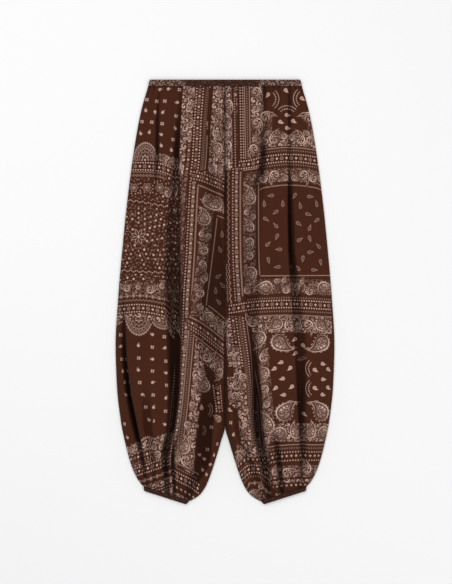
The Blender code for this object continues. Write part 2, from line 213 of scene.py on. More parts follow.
def smooth_curve(places, values, at):
    """Reads a smooth curve through the values, which doesn't swing past any of them."""
    places = np.asarray(places, float)
    values = np.asarray(values, float)
    steps = np.diff(places)
    slopes = np.diff(values) / steps
    tangents = np.zeros_like(values)
    same_way = slopes[:-1] * slopes[1:] > 0
    sums = np.where(same_way, slopes[:-1] + slopes[1:], 1.0)
    tangents[1:-1] = np.where(same_way, 2 * slopes[:-1] * slopes[1:] / sums, 0.0)
    tangents[0] = slopes[0]
    tangents[-1] = slopes[-1]
    at = np.clip(np.asarray(at, float), places[0], places[-1])
    left = np.clip(np.searchsorted(places, at, side="right") - 1, 0, len(steps) - 1)
    step = steps[left]
    share = (at - places[left]) / step
    rest = 1 - share
    return (
        values[left] * rest**2 * (1 + 2 * share)
        + values[left + 1] * share**2 * (3 - 2 * share)
        + tangents[left] * step * share * rest**2
        - tangents[left + 1] * step * share**2 * rest
    )


def section_column(name):
    return [row[SECTION_COLUMNS.index(name)] for row in SECTIONS]


def section_value(name, down):
    return smooth_curve(section_column("down"), section_column(name), down)


def fold_value(fold, measure, down):
    downs = dict(zip(section_column("name"), section_column("down")))
    places = [downs[name] for name in FOLD_SECTIONS]
    return smooth_curve(places, fold[measure], down)


def leg_lines(down, side):
    """The outer and inner ends of the lines across one leg, and how wide it is there."""
    outer_x = side * section_value("outer_x", down) * MM
    inner_x = side * (section_value("inner_x", down) * MM + LEG_GAP / 2)
    outer = np.stack([outer_x, section_value("outer_y", down) * MM], axis=1)
    inner = np.stack([inner_x, section_value("inner_y", down) * MM], axis=1)
    return outer, inner, np.linalg.norm(inner - outer, axis=1)


def fold_frames(folds, down, outer, inner):
    """Each fold's place on every line, and how its two sides run: the side seam's first."""
    width = np.linalg.norm(inner - outer, axis=1)
    span = inner[:, 0] - outer[:, 0]
    frames = []
    for fold in folds.values():
        half = fold_value(fold, "half", down) * MM
        run = np.minimum(FOLD_WALL, NARROW_FOLD_WALL * half)
        frames.append({
            "middle": (fold_value(fold, "across", down) * STEP - outer[:, 0]) / span * width,
            "half": half,
            "run": run,
            "slopes": [run + slope * MM for slope in fold["slope"]],
            "depth": fold_value(fold, "depth", down),
            # the shade painted into the colour in this fold
            "shade": fold_value(fold, "shade", down),
            "lean": [lean * MM for lean in fold["lean"]],
        })
    return frames


def cloth_rows():
    rows = [0.0]
    for end, step in ROW_STEPS:
        count = max(1, round((end - rows[-1]) / step))
        rows += list(np.linspace(rows[-1], end, count + 1)[1:])
    return np.array(rows)


def cloth_columns(frames, width):
    """Distances of each line's points from the side seam, and which are folds' middles.

    The points follow the folds. A flute is the cloth between the middles of two folds."""
    marks = [np.zeros_like(width)]
    for fold in frames:
        middle, half, run = fold["middle"], fold["half"], fold["run"]
        before, after = fold["slopes"]
        marks += [middle - half - before, middle - half + run, middle]
        marks += [middle + half - run, middle + half + after]
    marks.append(width)
    for index in range(1, len(marks)):
        marks[index] = np.maximum(marks[index], marks[index - 1] + CLOSEST_COLUMNS)
    marks = [mark / marks[-1] * width for mark in marks]
    counts = []
    for index, (low, high) in enumerate(zip(marks, marks[1:])):
        part = index % FOLD_MARKS
        if part == 0:
            widest = float(np.max(high - low))
            counts.append(max(FEWEST_COLUMNS, round(widest / FLUTE_STEP)))
        else:
            counts.append(LIP_COLUMNS if part in (1, 4) else TROUGH_COLUMNS)
    columns = []
    middles = []
    for index, (low, high, count) in enumerate(zip(marks, marks[1:], counts)):
        if index % FOLD_MARKS == 3:
            middles.append(len(columns))
        for share in np.arange(count) / count:
            columns.append(low + (high - low) * share)
    columns.append(width)
    return np.stack(columns, axis=1), middles


def edge_rise(distance, reach):
    share = np.clip(distance / reach, 0, 1)
    return 1 - (1 - share) ** 2


def dome_between(frames, columns, width):
    zero = np.zeros_like(width)
    middles = [zero] + [fold["middle"] for fold in frames] + [width]
    dome = np.zeros_like(columns)
    for low, high in zip(middles, middles[1:]):
        share = (columns - low[:, None]) / (high - low)[:, None]
        inside = (share >= 0) & (share <= 1)
        dome = np.where(inside, np.sin(np.pi * np.clip(share, 0, 1)), dome)
    return dome


def fold_profiles(frames, columns):
    """How much of each fold's depth every point has: 1 at its bottom, 0 outside it."""
    profiles = []
    for fold in frames:
        from_middle = columns - fold["middle"][:, None]
        before, after = fold["slopes"]
        slope = np.where(from_middle < 0, before[:, None], after[:, None])
        run = fold["run"][:, None]
        share = (np.abs(from_middle) - (fold["half"][:, None] - run)) / (run + slope)
        profiles.append((1 + np.cos(np.pi * np.clip(share, 0, 1))) / 2)
    return profiles


def gather_waves(down, columns, width):
    """Uneven waves across the cloth that die away from the elastic at both ends, and the
    shade painted into their troughs."""
    total, dark = 0, 0
    wander, wander_pace = GATHER_WANDER
    swell, swell_pace = GATHER_SWELL
    ends = (
        (down * MM, WAIST_GATHER, WAIST_REACH, WAIST_GATHER_PITCH),
        ((LENGTH - down) * MM, CUFF_GATHER, CUFF_REACH, CUFF_GATHER_PITCH),
    )
    for distance, size, reach, pitch in ends:
        end = 0 if reach == WAIST_REACH else -1
        turns = columns / width[:, None] * width[end] / pitch
        wave = np.sin(2 * np.pi * turns + wander * np.sin(wander_pace * turns))
        wave = wave * (1 - swell + swell * np.sin(swell_pace * turns + 1))
        fade = np.exp(-distance / reach)[:, None]
        total = total + size * fade * wave
        # painted shade in the troughs of the waves
        dark = dark + GATHER_SHADE * fade * np.clip(-wave, 0, 1)
    return total, dark


def creases(down, columns, width):
    across = columns / width[:, None]
    along = down[:, None] / LENGTH
    total = np.zeros_like(columns)
    for height, turns_across, turns_along, phase in CREASE_WAVES:
        angle = 2 * np.pi * (turns_across * across + turns_along * along) + phase
        total += height * MM * np.sin(angle)
    return total


def deepest(frames, profiles, measure):
    """The largest of what the folds give each point, of their depths or their painted shades."""
    each = [fold[measure][:, None] * profile for fold, profile in zip(frames, profiles)]
    return np.maximum.reduce(each)


def leg_lift(frames, columns, width, down):
    """How high each point of a front would stand with no folds, and the share of the full
    height that its rounded edges leave it."""
    crown = section_value("crown", down) * MM
    share = section_value("share", down)[:, None]
    outer_reach = np.minimum(OUTER_RISE, RISE_SHARE * width)[:, None]
    inner_reach = np.minimum(INNER_RISE, RISE_SHARE * width)[:, None]
    inner_rise = edge_rise(width[:, None] - columns, inner_reach)
    rise = edge_rise(columns, outer_reach) * (share + (1 - share) * inner_rise)
    dome = 1 - FLUTE_DOME + FLUTE_DOME * dome_between(frames, columns, width)
    return (crown - FLOOR_TOP)[:, None] * rise * dome, rise


def leaned_columns(frames, columns, lift):
    """Where the points lie across the leg once the lips of the folds lean over."""
    leaned = columns.copy()
    for fold in frames:
        height = fold["depth"][:, None] * lift / np.max(lift)
        for lean, lip_side, slope in zip(fold["lean"], (-1, 1), fold["slopes"]):
            lip = (fold["middle"] + lip_side * (fold["half"] + slope))[:, None]
            away = (columns - lip) * lip_side
            outward = np.exp(-np.maximum(away, 0) / LEAN_REACH)
            inward = np.clip(1 + away / (fold["run"] + slope)[:, None], 0, 1)
            leaned += lean * height * outward * inward
    return leaned


def seam_shade(down, columns, width):
    """The shade painted beside the seam in the middle of the pants, down to where the legs part."""
    seam = np.interp(down, MIDDLE_SHADE_CHANGES, (WAIST_MIDDLE_SHADE, MIDDLE_SHADE))
    reach = SEAM_SHADE * seam / MIDDLE_SHADE
    shade = seam[:, None] * np.exp(-(width[:, None] - columns) / reach[:, None])
    return np.where((down < LEGS_PART)[:, None], shade, 0.0)


def front_surface(side, folds):
    """The outer side of a front panel: its points, and what its print needs to know."""
    down = cloth_rows()
    outer, inner, width = leg_lines(down, side)
    frames = fold_frames(folds, down, outer, inner)
    columns, middles = cloth_columns(frames, width)
    lift, rise = leg_lift(frames, columns, width, down)
    profiles = fold_profiles(frames, columns)
    cut = deepest(frames, profiles, "depth")
    waves, wave_shade = gather_waves(down, columns, width)
    small = creases(down, columns, width) * rise * (1 - CREASE_FADE * cut)
    heights = np.maximum(FLOOR_TOP + lift * (1 - cut) + waves * rise + small, FLOOR_TOP)

    leaned = leaned_columns(frames, columns, lift) / width[:, None]
    flat = outer[:, None] + (inner - outer)[:, None] * leaned[..., None]
    points = np.concatenate([flat, heights[..., None]], axis=2)
    # The shade painted into the colour: in the folds, beside the middle seam and in the gathers'
    # troughs
    shade = np.maximum(deepest(frames, profiles, "shade"), seam_shade(down, columns, width))
    shade = np.maximum(shade, wave_shade)
    true_length = [np.interp(fold["depth"], TRUE_LENGTH_DEPTHS, (0, 1)) for fold in frames]
    return points, middles, shade, true_length


def plan_coordinates(points, middles, true_length):
    """Where each quad's corners are on the flattened cloth, in metres: across, along.

    Each flute starts from its middle, where it agrees with the plan. From there towards
    a fold, across is true to length as far as true_length says, for each line of points,
    and otherwise as in plan."""
    steps = np.linalg.norm(np.diff(points, axis=1)[..., (0, 2)], axis=2)
    arc = np.concatenate([np.zeros((len(points), 1)), np.cumsum(steps, axis=1)], axis=1)
    side = np.sign(points[0, -1, 0] - points[0, 0, 0])
    whole = np.ones(len(points))
    shares = [whole, *true_length, whole]
    starts = [0, *middles]
    ends = [*middles, points.shape[1] - 1]
    corners = np.zeros((points.shape[0] - 1, points.shape[1] - 1, 4, 2))
    for flute, (start, end) in enumerate(zip(starts, ends)):
        anchor = (start + end) // 2
        plan = points[..., 0]
        true = plan[:, anchor][:, None] + side * (arc - arc[:, anchor][:, None])
        before = np.arange(points.shape[1])[None, :] < anchor
        share = np.where(before, shares[flute][:, None], shares[flute + 1][:, None])
        across = plan + share * (true - plan)
        for corner, (row_shift, column_shift) in enumerate(CORNERS):
            rows = slice(row_shift, points.shape[0] - 1 + row_shift)
            columns = slice(start + column_shift, end + column_shift)
            corners[:, start:end, corner, 0] = across[rows, columns]
            corners[:, start:end, corner, 1] = points[rows, columns, 1]
    return corners


# ------------------------------------------------------------------ the print's layout

WAIST_TOP = 487.6 * MM

# A place in the layout is in steps: across from the middle of the pants towards +X, and
# down from the top of the waist. A path is a line of such places that bands of the print
# follow, down the leg or across it. Each band has a pattern, where along the path it
# starts and ends, how far beside the path its middle lies (towards +X, or towards the
# waist), and half its width.
RIGHT_PATHS = {
    "right_top_border": ("across", ((-104, 86), (-68, 87.5), (-44, 95), (-36, 96)), (
        ("curls", -66, -38, 9.0, 4.6),
        ("beads", -104, -36, 0, 5),
        ("waves", -104, -58, -8, 3.2),
    )),
    "right_ornaments": ("across", ((-104, 108), (-57, 108)), (
        ("rosettes", -104, -57, 0, 7),
    )),
    "right_upper_wave": ("across", ((-108, 119), (-86, 122), (-58, 127)), (
        ("dotted_wave", -108, -58, 0, 2.2),
    )),
    "right_lower_wave": ("across", ((-108, 190), (-86, 191.5), (-58, 193)), (
        ("dotted_wave", -108, -58, 0, 2.2),
    )),
    "right_middle_border": ("across", ((-110, 230), (-86, 228), (-61, 232), (-42, 248)), (
        ("dim_curls", -110, -40, 20, 5.6),
        ("ringed_dots", -110, -40, 12.4, 2.2),
        ("zigzag", -110, -40, 8, 1.6),
        ("beads", -110, -40, 0, 5),
        ("curls", -110, -40, -8, 2.6),
    )),
    "right_strip": ("down", (
        (6, -24.5), (40, -27), (80, -29.2), (105, -32.5), (140, -34.5), (180, -36.5),
        (210, -38.5), (250, -40.5), (285, -43.5), (320, -46.5), (350, -50), (372, -52),
        (400, -53),
    ), (
        ("curls", 0, 62, -11.2, 5.8),
        ("curls", 62, 95, -13.6, 3.2),
        ("stars", 48, 97, -7.4, 2.3),
        ("star_column", 0, 96, 0.0, 4.4),
        ("rope", 0, 92, 7.2, 1.6),
        ("line", 56, 90, 10.2, 0.8),
        ("plain", 0, 92, 11.6, 1.4),
        ("curls", 0, 92, 19.2, 6.2),
        ("dim_curls", 98, 236, -8.4, 2.6),
        ("bead_pair", 96, 250, 0, 3.9),
        ("cord", 104, 242, 5.8, 1.0),
        ("plain", 104, 240, 8, 1),
        ("bead_pair", 250, 392, 0.4, 3.6),
        ("line", 250, 392, 4.4, 0.7),
        ("rope", 250, 385, 7, 1.5),
        ("line", 250, 380, 9.8, 0.7),
        ("plain", 250, 380, 11.4, 1),
        ("curls", 258, 396, 17.0, 5.0),
    )),
    "right_frame": ("down", (
        (104, -4.5), (134, -7.4), (180, -12.9), (226, -18.8), (240, -20.5),
    ), (
        ("dim_curls", 112, 236, -9.6, 5.4),
        ("plain", 118, 234, -2.4, 1.4),
        ("line", 134, 226, 0, 1.0),
    )),
    "right_corner": ("across", ((-36, 96), (-25, 98), (0, 108)), (
        ("dots", -34, 0, 4.4, 1.4),
        ("stars", -34, 0, 0.8, 2.2),
        ("dots", -34, 0, -2.6, 1.3),
        ("cord", -27, 0, -8.0, 1.2),
        ("plain", -26, 0, -10.6, 1.2),
        ("curls", -20, 0, -18, 6.4),
        ("plain", -10, 0, -26, 1.4),
        ("line", -8, 0, -28.4, 0.9),
    )),
    "right_lower_corner": ("across", ((-41, 240), (-30, 245), (0, 267)), (
        ("line", -18, 0, 22.6, 0.8),
        ("curls", -26, 0, 13.6, 6.4),
        ("cord", -36, 0, 5.2, 1.0),
        ("stars", -40, 0, 0.6, 2.2),
        ("dots", -38, 0, -2.8, 1.3),
        ("dots", -36, 0, -5.4, 1.2),
        ("line", -32, 0, -9.4, 0.8),
        ("curls", -27, 0, -18.5, 7.2),
    )),
    "right_inner_beads": ("down", ((303, -8.5), (332, -4.5)), (
        ("beads", 303, 332, 0, 4.3),
    )),
    "right_low_border": ("across", ((-104, 397), (-87, 391.5), (-63, 383), (-50, 378)), (
        ("curls", -104, -54, 22.4, 5),
        ("stars", -104, -54, 14.4, 2.8),
        ("rope", -104, -54, 8.8, 1.2),
        ("beads", -104, -54, 0.6, 4.8),
        ("plain", -104, -54, -6, 1.4),
        ("ringed_dots", -104, -50, -10, 2.2),
        ("plain", -104, -50, -13.4, 0.8),
        ("curls", -104, -50, -18, 3.2),
        ("dots", -104, -50, -23.4, 1.4),
        ("curls", -104, -50, -28, 2.4),
    )),
    "right_cuff_border": ("across", ((-52, 394), (-38, 401.5), (-25, 410), (-12, 420)), (
        ("line", -52, -26, 12.4, 0.7),
        ("rope", -52, -28, 8, 1.2),
        ("beads", -52, -25, 0.8, 4.8),
        ("plain", -52, -25, -6, 1.2),
        ("bead_line", -52, -26, -9.4, 2.2),
        ("plain", -52, -26, -12.8, 0.8),
        ("curls", -52, -26, -17.2, 2.8),
    )),
}
LEFT_PATHS = {
    "left_strip_top": ("down", ((0, 14.6), (40, 15.2), (85, 15.8), (100, 16)), (
        ("curls", 0, 92, -14, 5.8),
        ("stars", 30, 92, -12.0, 2.2),
        ("plain", 0, 92, -7.6, 1.2),
        ("dots", 16, 92, -5.4, 1.2),
        ("dots", 0, 92, 0.3, 1.1),
        ("dots", 0, 92, 2.8, 1.1),
        ("line", 0, 90, 4.6, 0.5),
        ("rope", 0, 90, 6.9, 1.4),
        ("line", 0, 88, 9.5, 0.5),
        ("curls", 0, 40, 17.2, 6.2),
        ("dim_curls", 40, 84, 17.2, 6.2),
    )),
    "left_top_border": ("across", (
        (14, 86), (28, 84), (38, 81), (63, 78.5), (92, 81), (102, 83.5),
    ), (
        ("curls", 38, 98, 19.6, 7.6),
        ("dim_curls", 33, 47, 34, 7.6),
        ("dim_curls", 82, 100, 34, 7.6),
        ("line", 38, 98, 10.4, 0.8),
        ("rope", 38, 98, 7.4, 1.3),
        ("beads", 14, 98, 0, 4.8),
        ("rope", 36, 98, -6.6, 1.3),
        ("line", 18, 34, -5.4, 0.8),
        ("dim_curls", 21, 36, -15.2, 7),
        ("plain", 36, 98, -9, 1),
        ("soft_curls", 38, 100, -16.6, 6.8),
        ("plain", 34, 100, -24.8, 1),
        ("line", 32, 100, -27.0, 0.9),
    )),
    "left_strip": ("down", (
        (84, 10.4), (110, 9.8), (150, 9.8), (180, 10.2), (205, 11.5), (228, 13), (245, 14),
    ), (
        ("dotted_wave", 92, 226, -6.8, 1.8),
        ("dotted_wave", 184, 222, -10.4, 1.6),
        ("bead_pair", 88, 222, 0, 3.6),
        ("cord", 92, 216, 5.4, 1.0),
        ("plain", 96, 216, 7.6, 1),
        ("dim_curls", 98, 214, 14.6, 6.2),
        ("plain", 108, 196, 22, 1.2),
        ("line", 106, 196, 23.6, 0.8),
    )),
    "left_frame_bottom": ("across", ((30, 196), (108, 195.5)), (
        ("line", 35, 108, 0, 0.9),
        ("plain", 34, 108, -2, 1.2),
    )),
    "left_middle_border": ("across", ((4, 229), (35, 224.5), (63, 223.5), (108, 225.5)), (
        ("dim_curls", 22, 110, 17.6, 7.4),
        ("rope", 22, 110, 5.8, 1.3),
        ("plain", 20, 110, 3.4, 1),
        ("beads", 4, 110, -0.4, 4.6),
        ("rope", 24, 110, -7.4, 1.3),
        ("line", 26, 110, -11.4, 0.8),
        ("curls", 30, 112, -20.4, 8.2),
    )),
    "left_large_paisleys": ("across", ((42, 264), (114, 264)), (
        ("plain", 36, 114, 0, 9),
    )),
    "left_lower_paisleys": ("across", ((42, 333), (112, 333)), (
        ("plain", 36, 112, 0, 8.4),
        ("curls", 38, 110, -18.6, 9),
    )),
    "left_low_border": ("across", ((38, 375), (52, 373), (70, 371.5), (104, 372.5)), (
        ("line", 42, 104, 8, 0.7),
        ("rope", 42, 104, 4.6, 1.3),
        ("dots", 42, 104, 0.8, 1.3),
        ("bead_line", 42, 104, -3, 2.2),
        ("dots", 42, 104, -7.6, 1.2),
        ("plain", 42, 104, -10.6, 1.6),
        ("soft_curls", 40, 104, -18.6, 6),
        ("plain", 40, 104, -25.6, 0.8),
        ("curls", 40, 104, -28.4, 1.8),
        ("bead_line", 40, 104, -32.6, 2.0),
        ("plain", 40, 104, -37, 2.2),
    )),
    "left_strip_low": ("down", (
        (230, 20), (250, 22.6), (285, 27.5), (320, 31), (350, 33.4), (380, 38), (405, 46),
    ), (
        ("star_column", 236, 286, -13.2, 4.2),
        ("curls", 238, 286, -20.6, 3.4),
        ("curls", 268, 296, -15.5, 4.0),
        ("curls", 296, 328, -18.2, 9.2),
        ("curls", 328, 364, -13.4, 5.6),
        ("curls", 364, 380, -15.5, 8.0),
        ("rope", 236, 380, -6.6, 1.6),
        ("dots", 236, 380, -3.4, 1.2),
        ("line", 240, 380, 0, 0.8),
        ("plain", 240, 380, 2.8, 2),
        ("curls", 240, 252, 10.6, 6),
        ("dim_curls", 252, 326, 10.6, 6),
        ("soft_curls", 326, 358, 10.6, 6),
    )),
    "left_cuff_border": ("across", ((8, 400), (17, 393.4), (25, 388.2), (33, 388), (46, 396)), (
        ("curls", 6, 44, 17, 5.4),
        ("bead_line", 6, 44, 9.4, 2.2),
        ("beads", 6, 46, 0, 4.8),
        ("rope", 6, 48, -7.4, 1.2),
        ("plain", 8, 48, -10, 1.0),
        ("ringed_dots", 8, 50, -14, 2.2),
        ("plain", 8, 50, -17.6, 1.0),
        ("dots", 14, 50, -20.6, 1.4),
    )),
}
PATHS = {RIGHT: RIGHT_PATHS, LEFT: LEFT_PATHS}

# The middles of half mandalas, and their radii across and towards their point
MANDALAS = {
    RIGHT: (
        (-85.5, 236, 13.5, 19), (-111, 236, 11, 9), (-60, 238, 13, 11), (-79.5, 81, 12, -18),
        (-77, 376, 11, -20), (-62, 380, 9, -10),
    ),
    LEFT: (),
}
# Squares of four dots: across and down
SQUARES = {
    RIGHT: (
        (-68, 21.7), (-60, 21.7), (-45.5, 10.1), (-48.7, 36.6), (-73, 42.7), (-62.6, 44.3),
        (-51.6, 60.1), (-104, 254.8), (-102.4, 279), (-85.7, 277.6), (-72.3, 266.8), (-60.3, 256.5),
        (-58.5, 280.7), (-72, 290.6), (-84.7, 301.9), (-57.8, 304.7), (-71.3, 314.4),
        (-78.8, 326.6), (-58.9, 330.4), (-71.4, 340), (-61.3, 355.2), (-101.3, 343.6),
        (-13.5, 346.7), (-6.5, 363.4), (-27.9, 345.4), (-17.5, 369), (-99, 302), (-78, 20),
        (-83, 42),
    ),
    LEFT: ((5.4, 341.9),),
}
# Solid drops: across, down, and where the tip points on a clock's face, in degrees
DROPS = {
    RIGHT: (
        (-69.8, 32.3, 200), (-62.1, 33.1, 60), (-47.4, 22.8, 290), (-49.1, 49, 350),
        (-75.4, 53, 40), (-63.4, 55.1, 320), (-53.2, 70.8, 10), (-65.2, 9.9, 100),
        (-56.5, 9.5, 100), (-63.4, 66.3, 0), (-79, 31, 20), (-84, 54, 0), (-103.6, 266, 270),
        (-86, 265.2, 30), (-72, 254.2, 320), (-59.6, 267.4, 270), (-71.9, 278.7, 300),
        (-86, 289.5, 0), (-58.2, 292.3, 310), (-71.9, 301.9, 95), (-82, 313.9, 150),
        (-58.6, 317.4, 50), (-70.9, 326.7, 40), (-59.4, 343.5, 320), (-75.4, 339.4, 340),
        (-101.3, 291.1, 20), (-97.6, 314.5, 320), (-98, 357.2, 340), (-10.3, 374.7, 30),
        (-14.7, 383.9, 120), (-25, 374.4, 320), (-20.4, 378.6, 330), (-22.1, 389.5, 0),
        (-17.9, 394, 0),
    ),
    LEFT: ((8.3, 354, 40),),
}
# Blobs with a hole, given in the same way
BLOBS = {
    RIGHT: ((-23.2, 327.7, 20),),
    LEFT: (
        (43.1, 14.9, 190), (60.5, 10.6, 160), (76.7, 18.6, 150), (61.5, 35.6, 120),
        (54.9, 42.4, 140), (67.8, 41.4, 150), (61.8, 48.6, 120), (3.7, 329, 140), (70, 258.8, 210),
        (77.5, 264.9, 160), (70.5, 272.7, 210), (56.1, 281.8, 225), (49.5, 288, 215),
        (65, 287.2, 200), (57.6, 298, 230), (50.7, 307.1, 205), (66.7, 305.8, 205),
        (58.7, 314.1, 240), (97.2, 283.4, 130), (89, 289.2, 150), (103.5, 288.8, 150),
        (97.6, 298.8, 120), (89, 307.2, 150), (103.6, 307.1, 150), (97, 314, 130),
        (77.9, 333.2, 150), (88, 266, 150),
    ),
}
# Outlined drops, given in the same way
OPEN_DROPS = {
    RIGHT: (
        (-3, 155.3, 0), (-4.6, 170.5, 340), (-7.3, 196.8, 60), (-2, 205.8, 320), (-9.2, 211.5, 0),
        (-5.7, 222.6, 320),
    ),
    LEFT: (
        (46.5, 116, 265), (39, 125, 0), (57.5, 125, 0), (51, 132, 235), (40, 139, 125),
        (51, 146.5, 320), (52, 156, 205), (42, 165, 50), (54.5, 169.5, 270), (43, 179.5, 170),
        (53, 187, 265), (69.5, 115.5, 215), (84, 117, 95), (75, 127, 350), (92, 125, 350),
        (82, 134.5, 110), (92.5, 140, 235), (72.5, 143.5, 130), (84, 149, 20), (84, 158, 165),
        (73.5, 160.5, 60), (94, 167, 315), (84, 172.5, 85), (77.5, 178, 190), (95.5, 181.5, 175),
        (73, 189, 325), (88, 190, 95),
    ),
}
# Brackets: the middle of an arc, its radius, and where on a clock's face it lies
ARCS = {
    RIGHT: ((-21, 329.5, 9, 90), (-26, 350, 7, 90)),
    LEFT: (
        (42, 19.5, 12, 92), (80, 19, 12, 272), (62, 38, 12, 0), (75, 272, 8, 180),
        (91, 288, 11, 270), (91, 308, 11, 270),
    ),
}
# Paisleys: across, down, the radius of the round end, where the tip points on a clock's
# face, and 1 where it curls clockwise or -1 where it curls the other way
PAISLEYS = {
    RIGHT: (
        (-6.5, 32, 3.6, 180, 1), (-8.5, 54, 3.8, 150, -1), (-8, 69, 5.6, 195, 1),
        (-13, 90, 2.8, 0, 1), (-4.5, 90.5, 2.8, 0, -1), (-34.5, 26.5, 3.6, 60, 1),
        (-35.5, 45.5, 3.2, 30, -1), (-34, 12, 3, 150, 1), (-6, 14, 3.4, 20, 1),
        (-9, 124, 6.5, 280, 1), (-19.6, 119.6, 2.4, 20, 1), (-20.5, 139.5, 6, 340, -1),
        (-23, 154.5, 2.8, 20, 1), (-16.3, 156.5, 3, 200, -1), (-21.5, 170.5, 4.5, 330, -1),
        (-22.5, 184.5, 3.8, 160, 1), (-21.3, 199, 3.6, 20, -1), (-25.5, 213, 4.6, 340, -1),
        (-25, 227, 3.4, 180, 1), (-16.5, 237.5, 5.4, 130, 1), (-6, 248.5, 2.6, 20, 1),
        (-17.5, 276.5, 4.8, 60, -1), (-7.8, 285, 3.6, 5, 1), (-5.5, 292, 4.6, 205, 1),
        (-20.5, 306, 5.4, 345, -1), (-22.5, 293, 3.4, 10, 1), (-28.7, 297.5, 2.8, 200, -1),
        (-30.5, 312, 2.6, 20, 1), (-32, 324, 3, 190, -1), (-36.7, 344, 3.6, 160, -1),
        (-41, 367, 5.8, 5, -1), (-47.5, 377.5, 3.2, 20, -1), (-38.5, 379.5, 5, 142, -1),
        (-6, 338.5, 3.3, 300, -1), (-89, 367, 3.4, 40, 1), (-94.5, 369.5, 3, 10, -1),
        (-67.4, 373.3, 3.6, 190, 1), (-62.5, 366, 3, 20, 1), (-70, 366.5, 2.6, 340, 1),
        (-98, 207.5, 3.8, 300, 1), (-74, 209, 4.2, 60, -1), (-62, 206, 3, 20, 1),
        (-86, 207, 2.6, 0, 1), (-51.5, 80, 2.8, 240, 1), (-58.5, 78.5, 2.6, 240, 1),
        (-56, 113, 4.6, 30, -1), (-40, 268, 2.4, 20, 1),
    ),
    LEFT: (
        (31.5, 12.5, 4.8, 150, 1), (31, 29, 3.6, 60, -1), (32.3, 44, 5.2, 170, 1),
        (30, 59.7, 2.6, 20, 1), (28.8, 69.5, 4.4, 215, -1), (40.5, 37, 5, 84, 1),
        (83.5, 37.5, 5, 276, -1), (49, 59.5, 4.8, 20, 1), (74.8, 60, 4.8, 340, -1),
        (86, 61, 4.4, 60, 1), (39.5, 62.5, 3.4, 300, -1), (42.5, 53.8, 2.4, 60, 1),
        (82, 53.8, 2.4, 300, -1), (58.6, 56.5, 3, 270, 1), (66.8, 57, 3, 90, -1),
        (49.5, 96, 4.8, 200, -1), (78.5, 96, 4.8, 160, 1), (88.5, 98, 4.4, 330, 1),
        (38, 99, 4, 30, -1), (60, 98, 3, 250, 1), (69, 98, 3, 110, -1), (24.5, 118.5, 6, 350, -1),
        (22, 133, 2.8, 30, 1), (27.5, 137, 2.8, 200, 1), (24.5, 147.5, 4.6, 330, -1),
        (24, 162.5, 4.6, 180, 1), (24, 176, 4, 340, -1), (25.5, 193, 6, 185, 1),
        (22.5, 210.5, 3.4, 0, 1), (41, 207.5, 6.2, 255, -1), (60.5, 209.5, 3.8, 40, -1),
        (51.5, 201.5, 2.6, 90, 1), (59, 200.5, 2.4, 20, 1), (76.7, 202, 2.4, 20, 1),
        (84, 211, 3.8, 320, 1), (98.5, 208, 6.2, 105, 1), (70, 207, 4, 180, 1),
        (27.5, 241.5, 5, 320, 1), (52, 243.5, 5.4, 250, 1), (64, 245, 4.8, 10, 1),
        (82.5, 245, 4.8, 160, 1), (95.5, 245, 5.4, 110, -1), (73, 246, 3.4, 200, 1),
        (34.5, 257, 6, 200, 1), (39, 277, 4.6, 20, 1), (38.5, 292, 5.4, 200, 1),
        (39, 308.5, 4.2, 185, 1), (41, 323, 3.6, 20, -1), (42, 345, 7, 335, -1),
        (41, 360.5, 3.6, 250, -1), (53.8, 261.8, 7.8, 112, -1), (96.8, 262.4, 7.8, 246, 1),
        (58.6, 332, 8, 52, 1), (97, 332, 8, 308, -1), (55, 352.5, 6, 250, -1),
        (70.5, 352, 5.4, 350, 1), (84.5, 352, 5.4, 10, -1), (99, 352, 6, 110, 1),
        (50, 391, 3.4, 10, 1), (62, 392, 4.8, 80, 1), (81, 388, 4.8, 340, -1),
        (14, 377, 3.4, 200, -1), (27, 414, 4, 60, 1), (36, 406, 2.6, 0, 1), (12, 305, 4.6, 20, 1),
        (18, 297, 4, 200, -1), (10, 316, 4, 120, 1), (3, 25, 4.5, 160, 1), (2, 45, 4, 20, -1),
        (1.5, 66, 5, 190, 1),
    ),
}

# The parts of a leg outside and inside its strip, each filled with one pattern: the
# pattern, from and to down the leg, and the place that the pattern starts from
OUTER_FIELDS = {
    RIGHT: (
        ("plain", -20, 80, (0, 0)), ("flower_sky", 80, 216, (-86, 157)),
        ("plain", 216, 374, (0, 0)), ("curls", 374, 440, (-72, 400)),
    ),
    LEFT: (("plain", -20, 374, (0, 0)), ("curls", 374, 440, (60, 400))),
}
INNER_FIELDS = {
    RIGHT: (("curls", -20, 100, (-12, 40)), ("plain", 100, 440, (0, 0))),
    LEFT: (
        ("curls", -20, 92, (8, 40)), ("plain", 92, 374, (0, 0)), ("dim_curls", 374, 440, (40, 400)),
    ),
}

SQUARE_SIZE = 1.0
SQUARE_TURN = 8
DROP_SIZE = 1.75
OPEN_DROP_SIZE = 1.8
BLOB_SIZE = 2.1

# A paisley is a circle with two sides that run to a tip, so many radii from its middle.
# They turn round the middle as they go out, so many radians for each radius.
TIP = 2.2
SPREAD = np.arccos(1 / TIP)
CURL = 0.3
LARGEST_PAISLEY = 5.3  # one with a larger round end is drawn as lace

# How far a motif's own material reaches, in the motif's sizes
PAISLEY_EDGE = 1.2
MANDALA_EDGE = 1.15
MANDALA_FOOT = -0.3
ARC_MIDDLE = 0.9
ARC_HALF = 0.24
ARC_TURN = 1.0
MOTIF_MIDDLE = 0.5
MOTIF_EDGE = 2.6

PATH_POINTS = 200
BAND_MARGIN = 0.6  # plain ground that a band keeps round it
STRIP_HALF = 2.0  # the inner part of a leg starts so far beside the middle of its strip
LEFT_STRIP_START = 230  # where the left leg's lower strip starts, down the leg
LEFT_INNER_EDGE = 12  # where the left leg's inner part ends, above its strip


def path_line(path):
    places, values = zip(*path)
    fine = np.linspace(places[0], places[-1], PATH_POINTS)
    line = smooth_curve(places, values, fine)
    steps = np.hypot(np.diff(fine), np.diff(line))
    return fine, line, np.concatenate([[0], np.cumsum(steps)])


